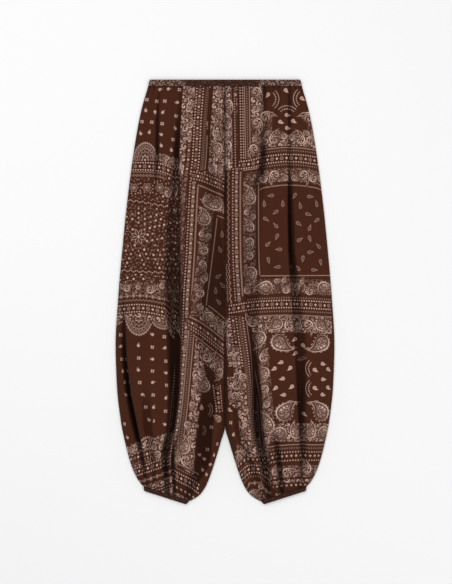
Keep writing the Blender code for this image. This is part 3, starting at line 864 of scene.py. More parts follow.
def place_by_path(way, path, across, down):
    """How far the places are beside a path and along it, in steps."""
    fine, line, lengths = path_line(path)
    at, beside = (down, across) if way == "down" else (across, down)
    slope = np.interp(at, fine, np.gradient(line, fine))
    offset = (beside - np.interp(at, fine, line)) / np.hypot(1, slope)
    along = np.interp(at, fine, lengths) + (at - np.clip(at, fine[0], fine[-1]))
    return (offset if way == "down" else -offset), along


def place_by_motif(across, down, motif):
    """Places in the frame of a motif, in its sizes, with its tip towards +Y."""
    at_across, at_down, size, turn, flip = motif
    cosine, sine = np.cos(np.radians(turn)), np.sin(np.radians(turn))
    x, y = across - at_across, at_down - down
    return flip * (x * cosine - y * sine) / size, (x * sine + y * cosine) / size


def paisley_reach(x, y):
    """How far out in a paisley the places are, as a share of its outline's distance."""
    from_middle = np.hypot(x, y)
    turned = np.arctan2(x, y) - CURL * (from_middle - TIP)
    turned = (turned + np.pi) % (2 * np.pi) - np.pi
    return from_middle * np.cos(np.maximum(SPREAD - np.abs(turned), 0))


def motifs_of(side):
    """Each motif of a leg: its kind, and its place, size, turn and flip."""
    motifs = [("square", (*place, SQUARE_SIZE, SQUARE_TURN, 1)) for place in SQUARES[side]]
    motifs += [("drop", (x, y, DROP_SIZE, turn, 1)) for x, y, turn in DROPS[side]]
    for x, y, turn in OPEN_DROPS[side]:
        motifs.append(("open_drop", (x, y, OPEN_DROP_SIZE, turn, 1)))
    motifs += [("arc", (*arc, 1)) for arc in ARCS[side]]
    for x, y, turn in BLOBS[side]:
        motifs.append(("blob", (x, y, BLOB_SIZE, turn, 1 if turn < 180 else -1)))
    for motif in PAISLEYS[side]:
        motifs.append(("lace_paisley" if motif[2] > LARGEST_PAISLEY else "paisley", motif))
    return motifs


def motif_mask(kind, x, y):
    """Which places in a motif's frame its own material covers."""
    if kind.endswith("paisley"):
        return paisley_reach(x, y) < PAISLEY_EDGE
    if kind == "arc":
        on_ring = np.abs(np.hypot(x, y) - ARC_MIDDLE) < ARC_HALF
        return on_ring & (np.abs(np.arctan2(x, y)) < ARC_TURN)
    return np.hypot(x, y - MOTIF_MIDDLE) < MOTIF_EDGE


def inner_part(side, across, down):
    """Which places are on the inner side of the leg's long strip."""
    strip = PATHS[side]["right_strip" if side == RIGHT else "left_strip_low"]
    beside, _ = place_by_path(*strip[:2], across, down)
    if side == RIGHT:
        return beside > STRIP_HALF
    return np.where(down > LEFT_STRIP_START, beside < -STRIP_HALF, across < LEFT_INNER_EDGE)


def lay_print(side, corners):
    """Each quad's kind of print, and its corners' places in that kind's own frame."""
    across = corners[..., 0] / STEP
    down = (WAIST_TOP - corners[..., 1]) / STEP
    middle_across = across.mean(axis=-1)
    middle_down = down.mean(axis=-1)
    kinds = np.full(middle_across.shape, KINDS.index("plain"))
    places = np.zeros(corners.shape)

    def paint(kind, mask, x, y):
        kinds[mask] = KINDS.index(kind)
        places[mask, :, 0] = x[mask]
        places[mask, :, 1] = y[mask]

    inner = inner_part(side, middle_across, middle_down)
    for fields, part in ((OUTER_FIELDS[side], ~inner), (INNER_FIELDS[side], inner)):
        for kind, start, end, (at_across, at_down) in fields:
            mask = part & (middle_down >= start) & (middle_down < end)
            paint(kind, mask, across - at_across, at_down - down)

    for at_across, at_down, wide, deep in MANDALAS[side]:
        x = (across - at_across) / wide
        y = (down - at_down) / deep
        mask = np.hypot(x.mean(axis=-1), y.mean(axis=-1)) < MANDALA_EDGE
        paint("mandala", mask & (y.mean(axis=-1) > MANDALA_FOOT), x, y)

    for name, (way, path, bands) in PATHS[side].items():
        offset, along = place_by_path(way, path, across, down)
        middle_offset = offset.mean(axis=-1)
        middle_at = middle_down if way == "down" else middle_across
        mask = np.zeros(middle_at.shape, bool)
        for _, start, end, beside, half in bands:
            inside = (middle_at >= start) & (middle_at < end)
            mask |= inside & (np.abs(middle_offset - beside) <= half + BAND_MARGIN)
        paint(name, mask, offset, along)

    for kind, motif in motifs_of(side):
        x, y = place_by_motif(across, down, motif)
        paint(kind, motif_mask(kind, x.mean(axis=-1), y.mean(axis=-1)), x, y)
    return kinds, places


# ---------------------------------------------------------- numbers that shaders work out

SOFT = 0.4  # how softly a line ends, in steps


def feed(tree, socket, value):
    """Links a term or a node's output to a socket, or sets the socket to a plain value."""
    if isinstance(value, Term):
        value = value.socket
    if isinstance(value, bpy.types.NodeSocket):
        tree.links.new(value, socket)
    else:
        socket.default_value = value


def add_node(tree, kind, inputs, **settings):
    """Adds a shader node with its settings, and feeds its inputs, by name or number."""
    node = tree.nodes.new("ShaderNode" + kind)
    for name, value in settings.items():
        setattr(node, name, value)
    for name, value in inputs.items():
        feed(tree, node.inputs[name], value)
    return node


class Term:
    """A number that a shader works out at each point, which arithmetic can build on."""

    def __init__(self, tree, socket):
        self.tree = tree
        self.socket = socket

    def math(self, operation, *others, clamp=False):
        values = dict(enumerate((self, *others)))
        node = add_node(self.tree, "Math", values, operation=operation, use_clamp=clamp)
        return Term(self.tree, node.outputs[0])

    def __add__(self, other):
        return self.math("ADD", other)

    def __sub__(self, other):
        return self.math("SUBTRACT", other)

    def __mul__(self, other):
        return self.math("MULTIPLY", other)

    def __abs__(self):
        return self.math("ABSOLUTE")

    def below(self, limit, soft=SOFT):
        """1 where this is under the limit, 0 where it isn't, with a soft edge."""
        return self.math("MULTIPLY_ADD", -1 / soft, limit / soft + 0.5, clamp=True)

    def above(self, limit, soft=SOFT):
        return self.math("MULTIPLY_ADD", 1 / soft, 0.5 - limit / soft, clamp=True)

    def near(self, limit, half, soft=SOFT):
        """1 within half of the limit, on both sides of it."""
        return abs(self - limit).below(half, soft)

    def repeat(self, pitch):
        """The distance from the nearest whole number of pitches, with its sign."""
        return self.math("WRAP", pitch / 2, -pitch / 2)

    def cell(self, pitch):
        return self.math("DIVIDE", pitch).math("ROUND")

    def between(self, pitch):
        """The distance from the nearest middle between two whole numbers of pitches."""
        return abs((self + pitch / 2).repeat(pitch))

    def sine(self):
        return self.math("SINE")

    def cosine(self):
        return self.math("COSINE")

    def either(self, other):
        return self.math("MAXIMUM", other)


def any_of(terms):
    total = terms[0]
    for term in terms[1:]:
        total = total.either(term)
    return total


def combine(x, y):
    return add_node(x.tree, "CombineXYZ", {0: x, 1: y}).outputs[0]


def first_parts(tree, vector):
    outputs = add_node(tree, "SeparateXYZ", {0: vector}).outputs
    return Term(tree, outputs[0]), Term(tree, outputs[1])


def length(x, y):
    node = add_node(x.tree, "VectorMath", {0: combine(x, y)}, operation="LENGTH")
    return Term(x.tree, node.outputs["Value"])


def angle_of(x, y):
    return x.math("ARCTAN2", y)


def scatter(x, y, size, evenness=1.0):
    """The distance from the nearest of points strewn about size apart, in that size,
    and that point's place."""
    inputs = {"Scale": 1 / size, "Randomness": evenness, "Vector": combine(x, y)}
    node = add_node(x.tree, "TexVoronoi", inputs, voronoi_dimensions="2D")
    place = first_parts(x.tree, node.outputs["Position"])
    return Term(x.tree, node.outputs["Distance"]), place


def chance(x, y):
    """A number from 0 to 1 that is the same for the same x and y."""
    inputs = {"Vector": combine(x, y)}
    node = add_node(x.tree, "TexWhiteNoise", inputs, noise_dimensions="2D")
    return Term(x.tree, node.outputs["Value"])


# ----------------------------------------------- patterns of bands and fields, in steps

# How strong the ink is
BRIGHT = 1.0
SOLID = 0.8
CLEAR = 0.57
DIM = 0.36
FAINT = 0.22

# Curls: how far apart they are, in steps, and then what each one is like, in its own size
CURL_SIZE = 6.6
CASING_CURL_SIZE = 5.2
CURL_EVENNESS = 0.75
CURL_TURNS = 1.7
CURL_EDGE = 0.52
CURL_HEART = 0.09
SPECK_PITCH = 0.26
SPECK_EDGE = 0.27

# How far apart the stars of each band are, and what stands beside them
BEAD_PITCH = 9.6
COLUMN_PITCH = 10.7
STAR_PITCH = 9.3
SMALL_STAR_PITCH = 4.7
RING = 1.45  # the radius of the rings between stars
RINGED_DOT_PITCH = 6.4
ROPE_PITCH = 2.4
ZIGZAG_PITCH = 3.4
WAVE_PITCH = 6.2
SCALLOP_PITCH = 3.3


def plain(x, y):
    return None


def curls(x, y, size=CURL_SIZE):
    """Small spirals, strewn close together, with dots between them."""
    reach, (at_x, at_y) = scatter(x, y, size, CURL_EVENNESS)
    luck = chance(at_x, at_y)
    arm = angle_of(x - at_x, y - at_y) + (reach * CURL_TURNS + luck) * (2 * np.pi)
    spiral = arm.sine().above(0.35, 0.6) * reach.below(CURL_EDGE, 0.14)
    heart = reach.below(CURL_HEART, 0.1)
    specks, _ = scatter(x, y, size * SPECK_PITCH)
    between = specks.below(SPECK_EDGE, 0.2) * reach.above(0.46, 0.16)
    return any_of([spiral * (luck * 0.5 + 0.32), heart * BRIGHT, between * 0.6]) * 0.97 + 0.03


# Curls at less than full ink. In part this dimming is painted shade: much of the lace drawn with
# these lies beside the folds, in shade.
def soft_curls(x, y):
    return curls(x, y) * 0.62


def dim_curls(x, y):
    return curls(x, y) * 0.4


def dot_row(x, y, pitch, radius=0.7):
    return length(x, y.repeat(pitch)).below(radius)


def star_row(x, y, pitch):
    near = y.repeat(pitch)
    points = (abs(x) + abs(near)) * 0.62
    return (points + length(x, near) * 0.3).below(1.15, 0.6) * 0.85


def ring_row(x, y, pitch):
    reach = length(x, y.repeat(pitch))
    return (reach.near(RING, 0.34) * DIM).either(reach.below(0.42) * CLEAR)


def ladder(x, y, pitch=1.7):
    return abs(x).below(1.5) * abs(y.repeat(pitch)).below(0.34) * DIM


def beads(x, y):
    """Stars and rings by turns, between two rows of dots."""
    middle = star_row(x, y, BEAD_PITCH).either(ring_row(x, y + BEAD_PITCH / 2, BEAD_PITCH))
    return middle.either(dot_row(abs(x) - 3.6, y, 2.5, 0.7) * 0.75)


def star_column(x, y):
    """Stars with a ladder between each two, and a row of dots on both sides."""
    bars = ladder(x, y) * y.between(COLUMN_PITCH).below(3.0)
    dots_beside = dot_row(abs(x) - 3.2, y, 2.95, 0.72) * 0.75
    return any_of([star_row(x, y, COLUMN_PITCH), bars, dots_beside])


def stars(x, y):
    bars = ladder(x, y) * y.between(STAR_PITCH).below(2.4)
    return star_row(x, y, STAR_PITCH).either(bars)


def bead_pair(x, y):
    """A row of dots beside a row of stars and rings."""
    row_x = x - 1.5
    rings = ring_row(row_x, y + STAR_PITCH / 2, STAR_PITCH)
    row = star_row(row_x, y, STAR_PITCH).either(rings).either(ladder(row_x, y))
    return (dot_row(x + 2.1, y, 2.9, 0.76) * CLEAR).either(row)


def bead_line(x, y):
    return star_row(x, y, SMALL_STAR_PITCH) * SOLID


def dots(x, y):
    return dot_row(x, y, 2.7, 0.74) * CLEAR


def ringed_dots(x, y):
    reach = length(x, y.repeat(RINGED_DOT_PITCH))
    ring = reach.near(1.5, 0.36) * DIM
    dots_between = dot_row(x, y + RINGED_DOT_PITCH / 2, RINGED_DOT_PITCH) * CLEAR
    return any_of([ring, reach.below(0.6), dots_between])


def rope(x, y):
    return (abs(x).near(1.5, 0.25) * FAINT).either(dot_row(x, y, ROPE_PITCH, 0.6) * DIM)


def line(x, y):
    return abs(x).below(0.5) * DIM


def cord(x, y):
    """A solid line with small dots on it."""
    return (abs(x).below(0.8) * FAINT).either(dot_row(x, y, ROPE_PITCH, 0.5) * CLEAR)


def zigzag(x, y):
    swing = abs(y.repeat(ZIGZAG_PITCH)) - ZIGZAG_PITCH / 4
    return x.near(swing, 0.38) * DIM


def dotted_wave(x, y):
    swing = (y * (2 * np.pi / WAVE_PITCH)).sine() * 0.8
    return length(x - swing, y.repeat(1.9)).below(0.66) * CLEAR


def waves(x, y):
    """Two scalloped lines with a row of dots between them."""
    scallop = abs(y.repeat(SCALLOP_PITCH)) * 0.8
    upper = (x - 1.6).near(scallop, 0.36)
    lower = (x + 2.2).near(scallop, 0.36)
    return (upper.either(lower) * DIM).either(dot_row(x + 0.4, y, SCALLOP_PITCH, 0.6) * DIM)


ROSETTE_PITCH = 13.0
ROSETTE_PETALS = 6.0


def rosettes(x, y):
    """Rings of dots and petals in a row, with dots strewn between them."""
    near = y.repeat(ROSETTE_PITCH)
    reach = length(x, near)
    petals = (angle_of(x, near) * ROSETTE_PETALS).cosine() * 0.6
    ring = reach.near(petals + 3.6, 0.4) * DIM
    inner = reach.near(1.7, 0.4) * DIM
    specks, _ = scatter(x, y, 3.2, 0.6)
    ground = reach.above(5.2) * specks.below(0.2, 0.2) * CLEAR
    return any_of([ring, inner, reach.below(0.7), ground])


SKY_RING = 4.7
SKY_PITCH = 6.4
SKY_PETALS = 8
SKY_FLOWER = 8.0  # how long the flower's petals are
PETAL_WIDTH = 1.3


def flower_sky(x, y):
    """A flower with eight petals in a sky of dots, which stand in rings round it."""
    reach = length(x, y)
    angle = angle_of(x, y)
    from_petal = (angle + np.pi / SKY_PETALS).repeat(2 * np.pi / SKY_PETALS)
    out, beside = reach * from_petal.cosine(), abs(reach * from_petal.sine())
    petal = (out * (np.pi / SKY_FLOWER)).sine() * PETAL_WIDTH
    flower = beside.near(petal, 0.3, 0.5) * out.below(SKY_FLOWER) * CLEAR
    ring = reach.cell(SKY_RING)
    arc = angle * ring * SKY_RING
    luck = chance(ring, arc.cell(SKY_PITCH))
    on_ring = length(reach.repeat(SKY_RING), arc.repeat(SKY_PITCH)).below(1.0, 0.8)
    bright = on_ring * (luck * 0.85 + 0.1) * luck.above(0.25, 0.1)
    between = length(reach.between(SKY_RING), arc.between(SKY_PITCH)).below(0.75, 0.8)
    specks, _ = scatter(x, y, 4.6, 0.7)
    ground = specks.below(0.12, 0.14) * DIM
    sky = any_of([bright, between * FAINT, ground]) * ring.above(1.5, 0.2)
    return any_of([flower, reach.below(1.0, 0.6), sky])


# --------------------------------------------------------- motifs, in their own sizes

LACE_DOTS = 0.33  # how far apart the dots of a large paisley are
# The seeds along a paisley's back: place, radius and how strong
SEEDS = ((-0.5, -0.05, 0.15, 0.9), (-0.52, 0.38, 0.15, 1.0), (-0.42, 0.78, 0.11, 0.8))
PAISLEY_HEART = (0.3, -0.1)  # what the small paisleys' filling swirls round
ARC_DOTS = 0.28  # how far apart an arc's dots are, in radians
# A mandala's rows: radius, petals round it, their height, how strong
MANDALA_ROWS = (
    (0.20, 8, 0.12, 0.9), (0.42, 12, 0.12, 0.5), (0.62, 20, 0.10, 0.6),
    (0.78, 28, 0.07, 0.4), (0.92, 34, 0.09, 0.8),
)


def reach_of_paisley(x, y, curl=CURL):
    from_middle = length(x, y)
    angle = angle_of(x, y)
    turned = (angle - (from_middle - TIP) * curl).repeat(2 * np.pi)
    aside = (abs(turned) * -1.0 + SPREAD).math("MAXIMUM", 0.0)
    return from_middle * aside.cosine(), turned


def paisley_back(angle):
    """1 along a paisley's back and 0 along its front."""
    return angle.sine().math("MULTIPLY_ADD", -0.5, 0.5)


def paisley_seeds(x, y):
    return [
        length(x - at_x, y - at_y).below(size, 0.08) * strong
        for at_x, at_y, size, strong in SEEDS
    ]


def fringe(reach, angle, radius, count):
    """Beads along a level line of a paisley."""
    return reach.near(radius, 0.05, 0.06) * (angle * count).sine().above(0.1, 0.9)


def paisley(x, y):
    """A curled drop with a bold back, a row of seeds along it, and a finely drawn front."""
    reach, angle = reach_of_paisley(x, y)
    back = paisley_back(angle)
    outline = (abs(reach - 0.92) - back * 0.07).below(0.05, 0.07) * (back * back * 0.75 + 0.25)
    heart_x, heart_y = x - PAISLEY_HEART[0], y - PAISLEY_HEART[1]
    from_heart = length(heart_x, heart_y)
    turned = from_heart * 10.0 - angle_of(heart_x, heart_y)
    swirl = turned.sine().above(-0.1, 1.0) * reach.below(0.86, 0.08)
    filling = swirl * x.above(-0.14, 0.08) * (from_heart.below(0.9, 0.6) * 0.26 + 0.24)
    rib = x.near(-0.16, 0.05, 0.06) * reach.below(0.8, 0.06) * CLEAR
    beads_round = fringe(reach, angle, 1.12, 13.0) * DIM
    return any_of([outline, filling, rib, beads_round, *paisley_seeds(x, y)])


def lace_paisley(x, y):
    """A large curled drop with a thin outline, an inner line, seeds and strewn dots."""
    reach, angle = reach_of_paisley(x, y)
    back = paisley_back(angle)
    outline = (abs(reach - 0.95) - back * 0.06).below(0.03, 0.07) * (back * 0.6 + 0.35)
    inner = reach.near(0.7, 0.03, 0.07) * DIM
    specks, _ = scatter(x, y, LACE_DOTS, 0.7)
    filling = specks.below(0.3, 0.35) * reach.below(0.64, 0.08) * 0.62
    ground = reach.below(0.66, 0.1) * 0.12
    beads_round = fringe(reach, angle, 1.14, 15.0) * CLEAR
    return any_of([outline, inner, filling, ground, beads_round, *paisley_seeds(x, y)])


def blob(x, y):
    """An egg with a hole in its round end, and a thin end that bends aside."""
    out = y.math("MAXIMUM", 0.0)
    bent = (x + out * out * 0.3) * (out * 0.35 + 1.0)
    egg = length(bent, out * 0.54 + y.math("MINIMUM", 0.0)).below(0.88, 0.4)
    return egg * SOLID - length(x, y).below(0.34, 0.3) * 0.5


def drop(x, y):
    reach, _ = reach_of_paisley(x, y, 0.5)
    return reach.below(0.78, 0.6) * (y * -0.2 + 0.78)


def open_drop(x, y):
    reach, _ = reach_of_paisley(x * 1.05, y * 0.78, 0.1)
    return (reach.near(0.8, 0.13, 0.2) * 0.46).either(reach.below(0.8, 0.2) * 0.1)


def square(x, y):
    """Four dots."""
    return length(abs(x) - 0.95, abs(y) - 0.85).below(0.72, 0.6) * SOLID


def arc(x, y):
    """A line along part of a ring, with a row of dots inside it."""
    reach, angle = length(x, y), angle_of(x, y)
    drawn = abs(angle).below(0.85, 0.06)
    thin = reach.near(0.98, 0.03, 0.04) * CLEAR
    dots_inside = length(reach - 0.72, angle.repeat(ARC_DOTS) * 0.72).below(0.065, 0.05)
    return thin.either(dots_inside * CLEAR) * drawn


def mandala(x, y):
    """Rows of petals round a middle, each row further out, with a bead in each petal."""
    reach, angle = length(x, y), angle_of(x, y)
    rows = [reach.below(0.08, 0.06)]
    for radius, petals, height, strong in MANDALA_ROWS:
        scallop = abs((angle * (petals / 2)).cosine()) * height
        rows.append(abs(reach - radius - scallop).below(0.022, 0.04) * strong)
        around = angle.repeat(2 * np.pi / petals) * radius
        bead = length(reach - radius - height * 0.2, around)
        rows.append(bead.below(0.022, 0.04) * strong)
    return any_of(rows) * reach.below(1.06, 0.05)


def by_name(*patterns):
    return {pattern.__name__: pattern for pattern in patterns}


FIELDS = by_name(plain, curls, dim_curls, flower_sky)
MOTIFS = by_name(square, drop, open_drop, blob, arc, paisley, lace_paisley, mandala)
BANDS = by_name(
    curls, soft_curls, dim_curls, beads, star_column, stars, bead_pair, bead_line, dots,
    ringed_dots, rope, line, cord, zigzag, dotted_wave, waves, rosettes,
)
# Every kind of print has a material of its own.
KINDS = [*FIELDS, *MOTIFS, *RIGHT_PATHS, *LEFT_PATHS]


def draw_bands(name, x, y):
    """The bands beside one path, x steps from it and y along it."""
    _, path, bands = {**RIGHT_PATHS, **LEFT_PATHS}[name]
    fine, _, lengths = path_line(path)
    drawn = []
    for pattern, start, end, beside, half in bands:
        if pattern == "plain":
            continue
        low, high = np.interp((start, end), fine, lengths)
        inside = x.near(beside, half) * y.near((low + high) / 2, (high - low) / 2)
        drawn.append(BANDS[pattern](x - beside, y) * inside)
    return any_of(drawn) if drawn else None


# --------------------------------------------------------------------- materials

GROUND = (0.0605, 0.0182, 0.0090)
INK = (0.73, 0.497, 0.41)
INSIDE = (0.030, 0.0125, 0.0085)
CASING_GROUND = (0.034, 0.0108, 0.0062)
# At its strongest, the shade painted into the cloth takes this share of its colour away
PAINTED_SHADE_STRENGTH = 0.93
WORN_SIZE = 5 * MM
UNEVEN_SIZE = 70 * MM
WEAVE = 0.7 * MM
WEAVE_DEPTH = 0.05 * MM
WEAVE_STRENGTH = 0.6
FLUFF_SIZE = 1.5 * MM
FLUFF = 1.5  # how much the uneven fluff counts beside the threads
NOISE_DETAIL = 3
CLOTH_LOOK = {
    "Roughness": 0.9, "Specular IOR Level": 0.05, "Sheen Weight": 0.02, "Sheen Roughness": 0.5,
}
FLOOR_LOOK = {
    "Base Color": (0.94, 0.94, 0.94, 1), "Roughness": 0.9, "Specular IOR Level": 0.0,
}


def mixed(tree, share, first, second):
    """The colour that is so large a share of the way from the first one to the second."""
    inputs = {"Factor": share, 6: (*first, 1), 7: (*second, 1)}  # 6 and 7 are the colours
    return add_node(tree, "Mix", inputs, data_type="RGBA").outputs[2]


def map_places(tree, name):
    return first_parts(tree, add_node(tree, "UVMap", {}, uv_map=name).outputs[0])


def attribute(tree, name):
    return Term(tree, add_node(tree, "Attribute", {}, attribute_name=name).outputs["Fac"])


def noise(tree, size):
    places = add_node(tree, "TexCoord", {}).outputs["Object"]
    inputs = {"Scale": 1 / size, "Detail": NOISE_DETAIL, "Vector": places}
    return Term(tree, add_node(tree, "TexNoise", inputs).outputs["Fac"])


def weave_bump(tree):
    """A plain weave as bumps: threads that pass over each other by turns."""
    first, second = map_places(tree, "cloth")
    threads = 2 * np.pi / WEAVE
    height = (first * threads).sine() * (second * threads).sine()
    height = height + noise(tree, FLUFF_SIZE) * FLUFF
    inputs = {"Distance": WEAVE_DEPTH, "Strength": WEAVE_STRENGTH, "Height": height}
    return add_node(tree, "Bump", inputs).outputs["Normal"]


def shaded(tree, colour):
    """The colour darkened by painted shade, in the folds, in the troughs of the gathers and
    beside the middle seam, and by a slight random unevenness.
    """
    uneven = noise(tree, UNEVEN_SIZE) * 0.2 + 0.9
    # The attribute read here is shade painted into the colour, strongest in the folds' troughs
    light = (attribute(tree, "painted_shade") * -PAINTED_SHADE_STRENGTH + 1.0) * uneven
    inputs = {0: colour, "Scale": light}
    return add_node(tree, "VectorMath", inputs, operation="SCALE").outputs[0]


def new_material(name, look):
    """A material, its node tree and its shader, which is set to look so."""
    material = bpy.data.materials.new(name)
    material.use_nodes = True
    shader = material.node_tree.nodes["Principled BSDF"]
    for socket, value in look.items():
        shader.inputs[socket].default_value = value
    return material, material.node_tree, shader


def cloth_material(name, colour_of):
    """Matt woven cloth, with shade painted into its colour. colour_of gives its colour from its
    node tree.
    """
    material, tree, shader = new_material(name, CLOTH_LOOK)
    feed(tree, shader.inputs["Base Color"], shaded(tree, colour_of(tree)))
    feed(tree, shader.inputs["Normal"], weave_bump(tree))
    return material


def print_material(kind):
    draw = {**FIELDS, **MOTIFS}.get(kind, lambda x, y: draw_bands(kind, x, y))

    def colour(tree):
        ink = draw(*map_places(tree, "print"))
        if ink is None:
            return GROUND
        worn = noise(tree, WORN_SIZE) * 0.5 + 0.65
        return mixed(tree, ink * worn, GROUND, INK)

    return cloth_material("print_" + kind, colour)


def casing_colour(tree):
    """The print shows dimly on the casings, and hardly in the middle of the waist."""
    ghost = curls(*map_places(tree, "print"), CASING_CURL_SIZE) * attribute(tree, "ghost")
    return mixed(tree, ghost, CASING_GROUND, INK)


# ------------------------------------------------------------------- building the cloth

BAKE_GAP = 0.01
BAKE_OUTSIDE = (0.2, 1.0)  # the outer side's share of the bake map's height
BAKE_INSIDE = (0.0, 0.18)
BACK_LINES = 260
BACK_POINTS = 90
BACK_GATHER = 0.5 * MM
BACK_GATHER_SHARE = 0.3


def wall_normals(points, outer_to_inner):
    along = np.gradient(points, axis=0)
    across = np.gradient(points, axis=1)
    normals = np.cross(along, across)
    normals *= np.sign(normals[..., 2:3].mean())
    for row in (0, -1):
        over_line = normals[row, :, :2] @ outer_to_inner[row]
        normals[row, :, :2] = over_line[:, None] * outer_to_inner[row][None, :]
    normals[:, (0, -1), :2] = 0
    return normals / np.linalg.norm(normals, axis=2, keepdims=True)


def grid_quads(rows, columns):
    grid = np.arange(rows * columns).reshape(rows, columns)
    return np.stack(
        [grid[:-1, :-1], grid[1:, :-1], grid[1:, 1:], grid[:-1, 1:]], axis=-1
    ).reshape(-1, 4)


def rim_quads(rows, columns):
    """Quads that close the rim between two grids, the second one's points after."""
    grid = np.arange(rows * columns).reshape(rows, columns)
    rim = list(grid[0, :-1]) + list(grid[:-1, -1])
    rim += list(grid[-1, :0:-1]) + list(grid[:0:-1, 0])
    rim = np.array(rim)
    after = np.roll(rim, -1)
    count = rows * columns
    return np.stack([rim, after, after + count, rim + count], axis=-1)


def bake_places(rows, columns, low, high):
    """Corners' places on the bake map. The lower half of the leg lies on its right."""
    half = (rows - 1) // 2
    corners = np.zeros((rows - 1, columns - 1, 4, 2))
    below = np.arange(rows - 1)[:, None] >= half
    start = np.where(below, half, 0)
    span = np.where(below, rows - 1 - half, half)
    for corner, (row_shift, column_shift) in enumerate(CORNERS):
        row = np.arange(rows - 1)[:, None] + row_shift
        column = np.arange(columns - 1)[None, :] + column_shift
        across = column / (columns - 1) * (0.5 - 2 * BAKE_GAP) + np.where(below, 0.5, 0.0)
        along = (row - start) / span
        corners[..., corner, 0] = BAKE_GAP + across
        corners[..., corner, 1] = low + BAKE_GAP + along * (high - low - 2 * BAKE_GAP)
    return corners.reshape(-1, 4, 2)


def add_piece(name, vertices, faces, maps, attributes, materials, slots, turned):
    """Makes a piece of the cloth, which stands for the solid of that name.

    maps and attributes are its places and values by name, slots says which of the
    materials each face has, and turned says that its faces are given from inside."""
    mesh = bpy.data.meshes.new(name + "_cloth")
    order = slice(None, None, -1 if turned else 1)
    mesh.from_pydata(vertices.tolist(), [], faces[:, order].tolist())
    for key, places in maps.items():
        layer = mesh.uv_layers.new(name=key)
        layer.data.foreach_set("uv", places[:, order].reshape(-1).astype(np.float32))
    for material in materials:
        mesh.materials.append(material)
    mesh.polygons.foreach_set("material_index", slots.astype(np.int32))
    for key, values in attributes.items():
        layer = mesh.attributes.new(key, "FLOAT", "POINT")
        layer.data.foreach_set("value", values.reshape(-1).astype(np.float32))
    mesh.shade_smooth()
    made = bpy.data.objects.new(name + "_cloth", mesh)
    bpy.context.scene.collection.objects.link(made)
    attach(made, "root")
    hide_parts(name)
    return made


def add_panel(name, side, points, corners, shade):
    """A thin closed shell of printed cloth, with a grid of points on its outer side."""
    rows, columns = points.shape[:2]
    kinds, places = lay_print(side, corners)
    line = points[:, -1, :2] - points[:, 0, :2]
    line = line / np.linalg.norm(line, axis=1, keepdims=True)
    under = points - CLOTH * wall_normals(points, line)
    quads = grid_quads(rows, columns)
    rim = rim_quads(rows, columns)
    faces = np.concatenate([quads, quads[:, ::-1] + rows * columns, rim])
    no_place = np.zeros((len(rim), 4, 2))

    def both_sides(outer, inner, at_rim=no_place):
        outer, inner = outer.reshape(-1, 4, 2), inner.reshape(-1, 4, 2)
        return np.concatenate([outer, inner[:, ::-1], at_rim])

    bake = [bake_places(rows, columns, *share) for share in (BAKE_OUTSIDE, BAKE_INSIDE)]
    maps = {
        "print": both_sides(places, places),
        "cloth": both_sides(corners, corners),
        "OFBake": both_sides(*bake, no_place + BAKE_GAP / 2),
    }
    used = sorted(set(kinds.reshape(-1)) | {KINDS.index("plain")})
    outer_slots = np.searchsorted(used, kinds.reshape(-1))
    slots = np.concatenate([outer_slots, np.full(len(quads) + len(rim), len(used))])
    materials = [MATERIALS[KINDS[kind]] for kind in used] + [MATERIALS["inside"]]
    vertices = np.concatenate([points.reshape(-1, 3), under.reshape(-1, 3)])
    # Shade painted into the colour: in the folds, in the gathers' troughs and beside the middle
    # seam
    attributes = {"painted_shade": np.concatenate([shade, shade])}
    return add_piece(
        name, vertices, faces, maps, attributes, materials, slots, side == LEFT
    )


def add_front(name, side, folds):
    points, middles, shade, true_length = front_surface(side, folds)
    corners = plan_coordinates(points, middles, true_length)
    return add_panel(name, side, points, corners, shade)


def add_back(name, side):
    """A back panel, flat on the surface, with its gathers pressed nearly flat."""
    down = np.linspace(0, LENGTH, BACK_LINES)
    outer, inner, width = leg_lines(down, side)
    columns = width[:, None] * np.linspace(0, 1, BACK_POINTS)[None, :]
    share = (columns / width[:, None])[..., None]
    flat = outer[:, None] * (1 - share) + inner[:, None] * share
    waves, _ = gather_waves(down, columns, width)
    heights = WALL - BACK_GATHER + np.clip(waves * BACK_GATHER_SHARE, 0, BACK_GATHER)
    points = np.concatenate([flat, heights[..., None]], axis=2)
    corners = plan_coordinates(points, [], [])
    return add_panel(name, side, points, corners, np.zeros_like(heights))


# ----------------------------------------------------------------------- the casings

CASING_WALL = 2.4 * MM
CASING_INSIDE = 2.0 * MM
CASING_PUFF = 0.7 * MM
WAIST_SEAM = 473.1 * MM
WAIST_TOP_HALF = 173.2 * MM
WAIST_SEAM_HALF = 176.6 * MM
CUFF_HEIGHT = 10.1 * MM
CUFF_SEAM_WIDTH = 111.0 * MM
CUFF_EDGE_WIDTH = 101.5 * MM
RIPPLE = 0.5 * MM
RIPPLE_PITCH = 8 * MM
RIPPLE_WANDER = (1.5, 61)  # how far the ripples wander from an even pitch, and how often
RIPPLE_SWELL = (0.4, 37)  # how much they grow and shrink, and how often
CASING_STEP = 1.6 * MM
CASING_END_POINTS = 9
CASING_BACK_POINTS = 40
# The section of the wall: its share of the height, how far out of the wall's middle in
# half walls, and how puffed it is.
CASING_SECTION = (
    (0.0, 0.55, 0.0), (0.03, 0.9, 0.0), (0.12, 1.0, 0.45), (0.3, 1.0, 0.9),
    (0.5, 1.0, 1.0), (0.7, 1.0, 0.9), (0.88, 1.0, 0.45), (0.97, 0.9, 0.0),
    (1.0, 0.5, 0.0), (1.0, -1.0, 0.0), (0.0, -1.0, 0.0),
)
# How strongly the print shows: at so many mm across the waist, round its back and sides,
# and on the ankle casings
WAIST_GHOST = ((-180, 0.54), (-98, 0.48), (-88, 0.08), (70, 0.08), (80, 0.48), (180, 0.6))
FACING_UP = 0.5  # the front ends where the wall's normal points up by less than this
BACK_GHOST = 0.1
CUFF_GHOST = 0.05


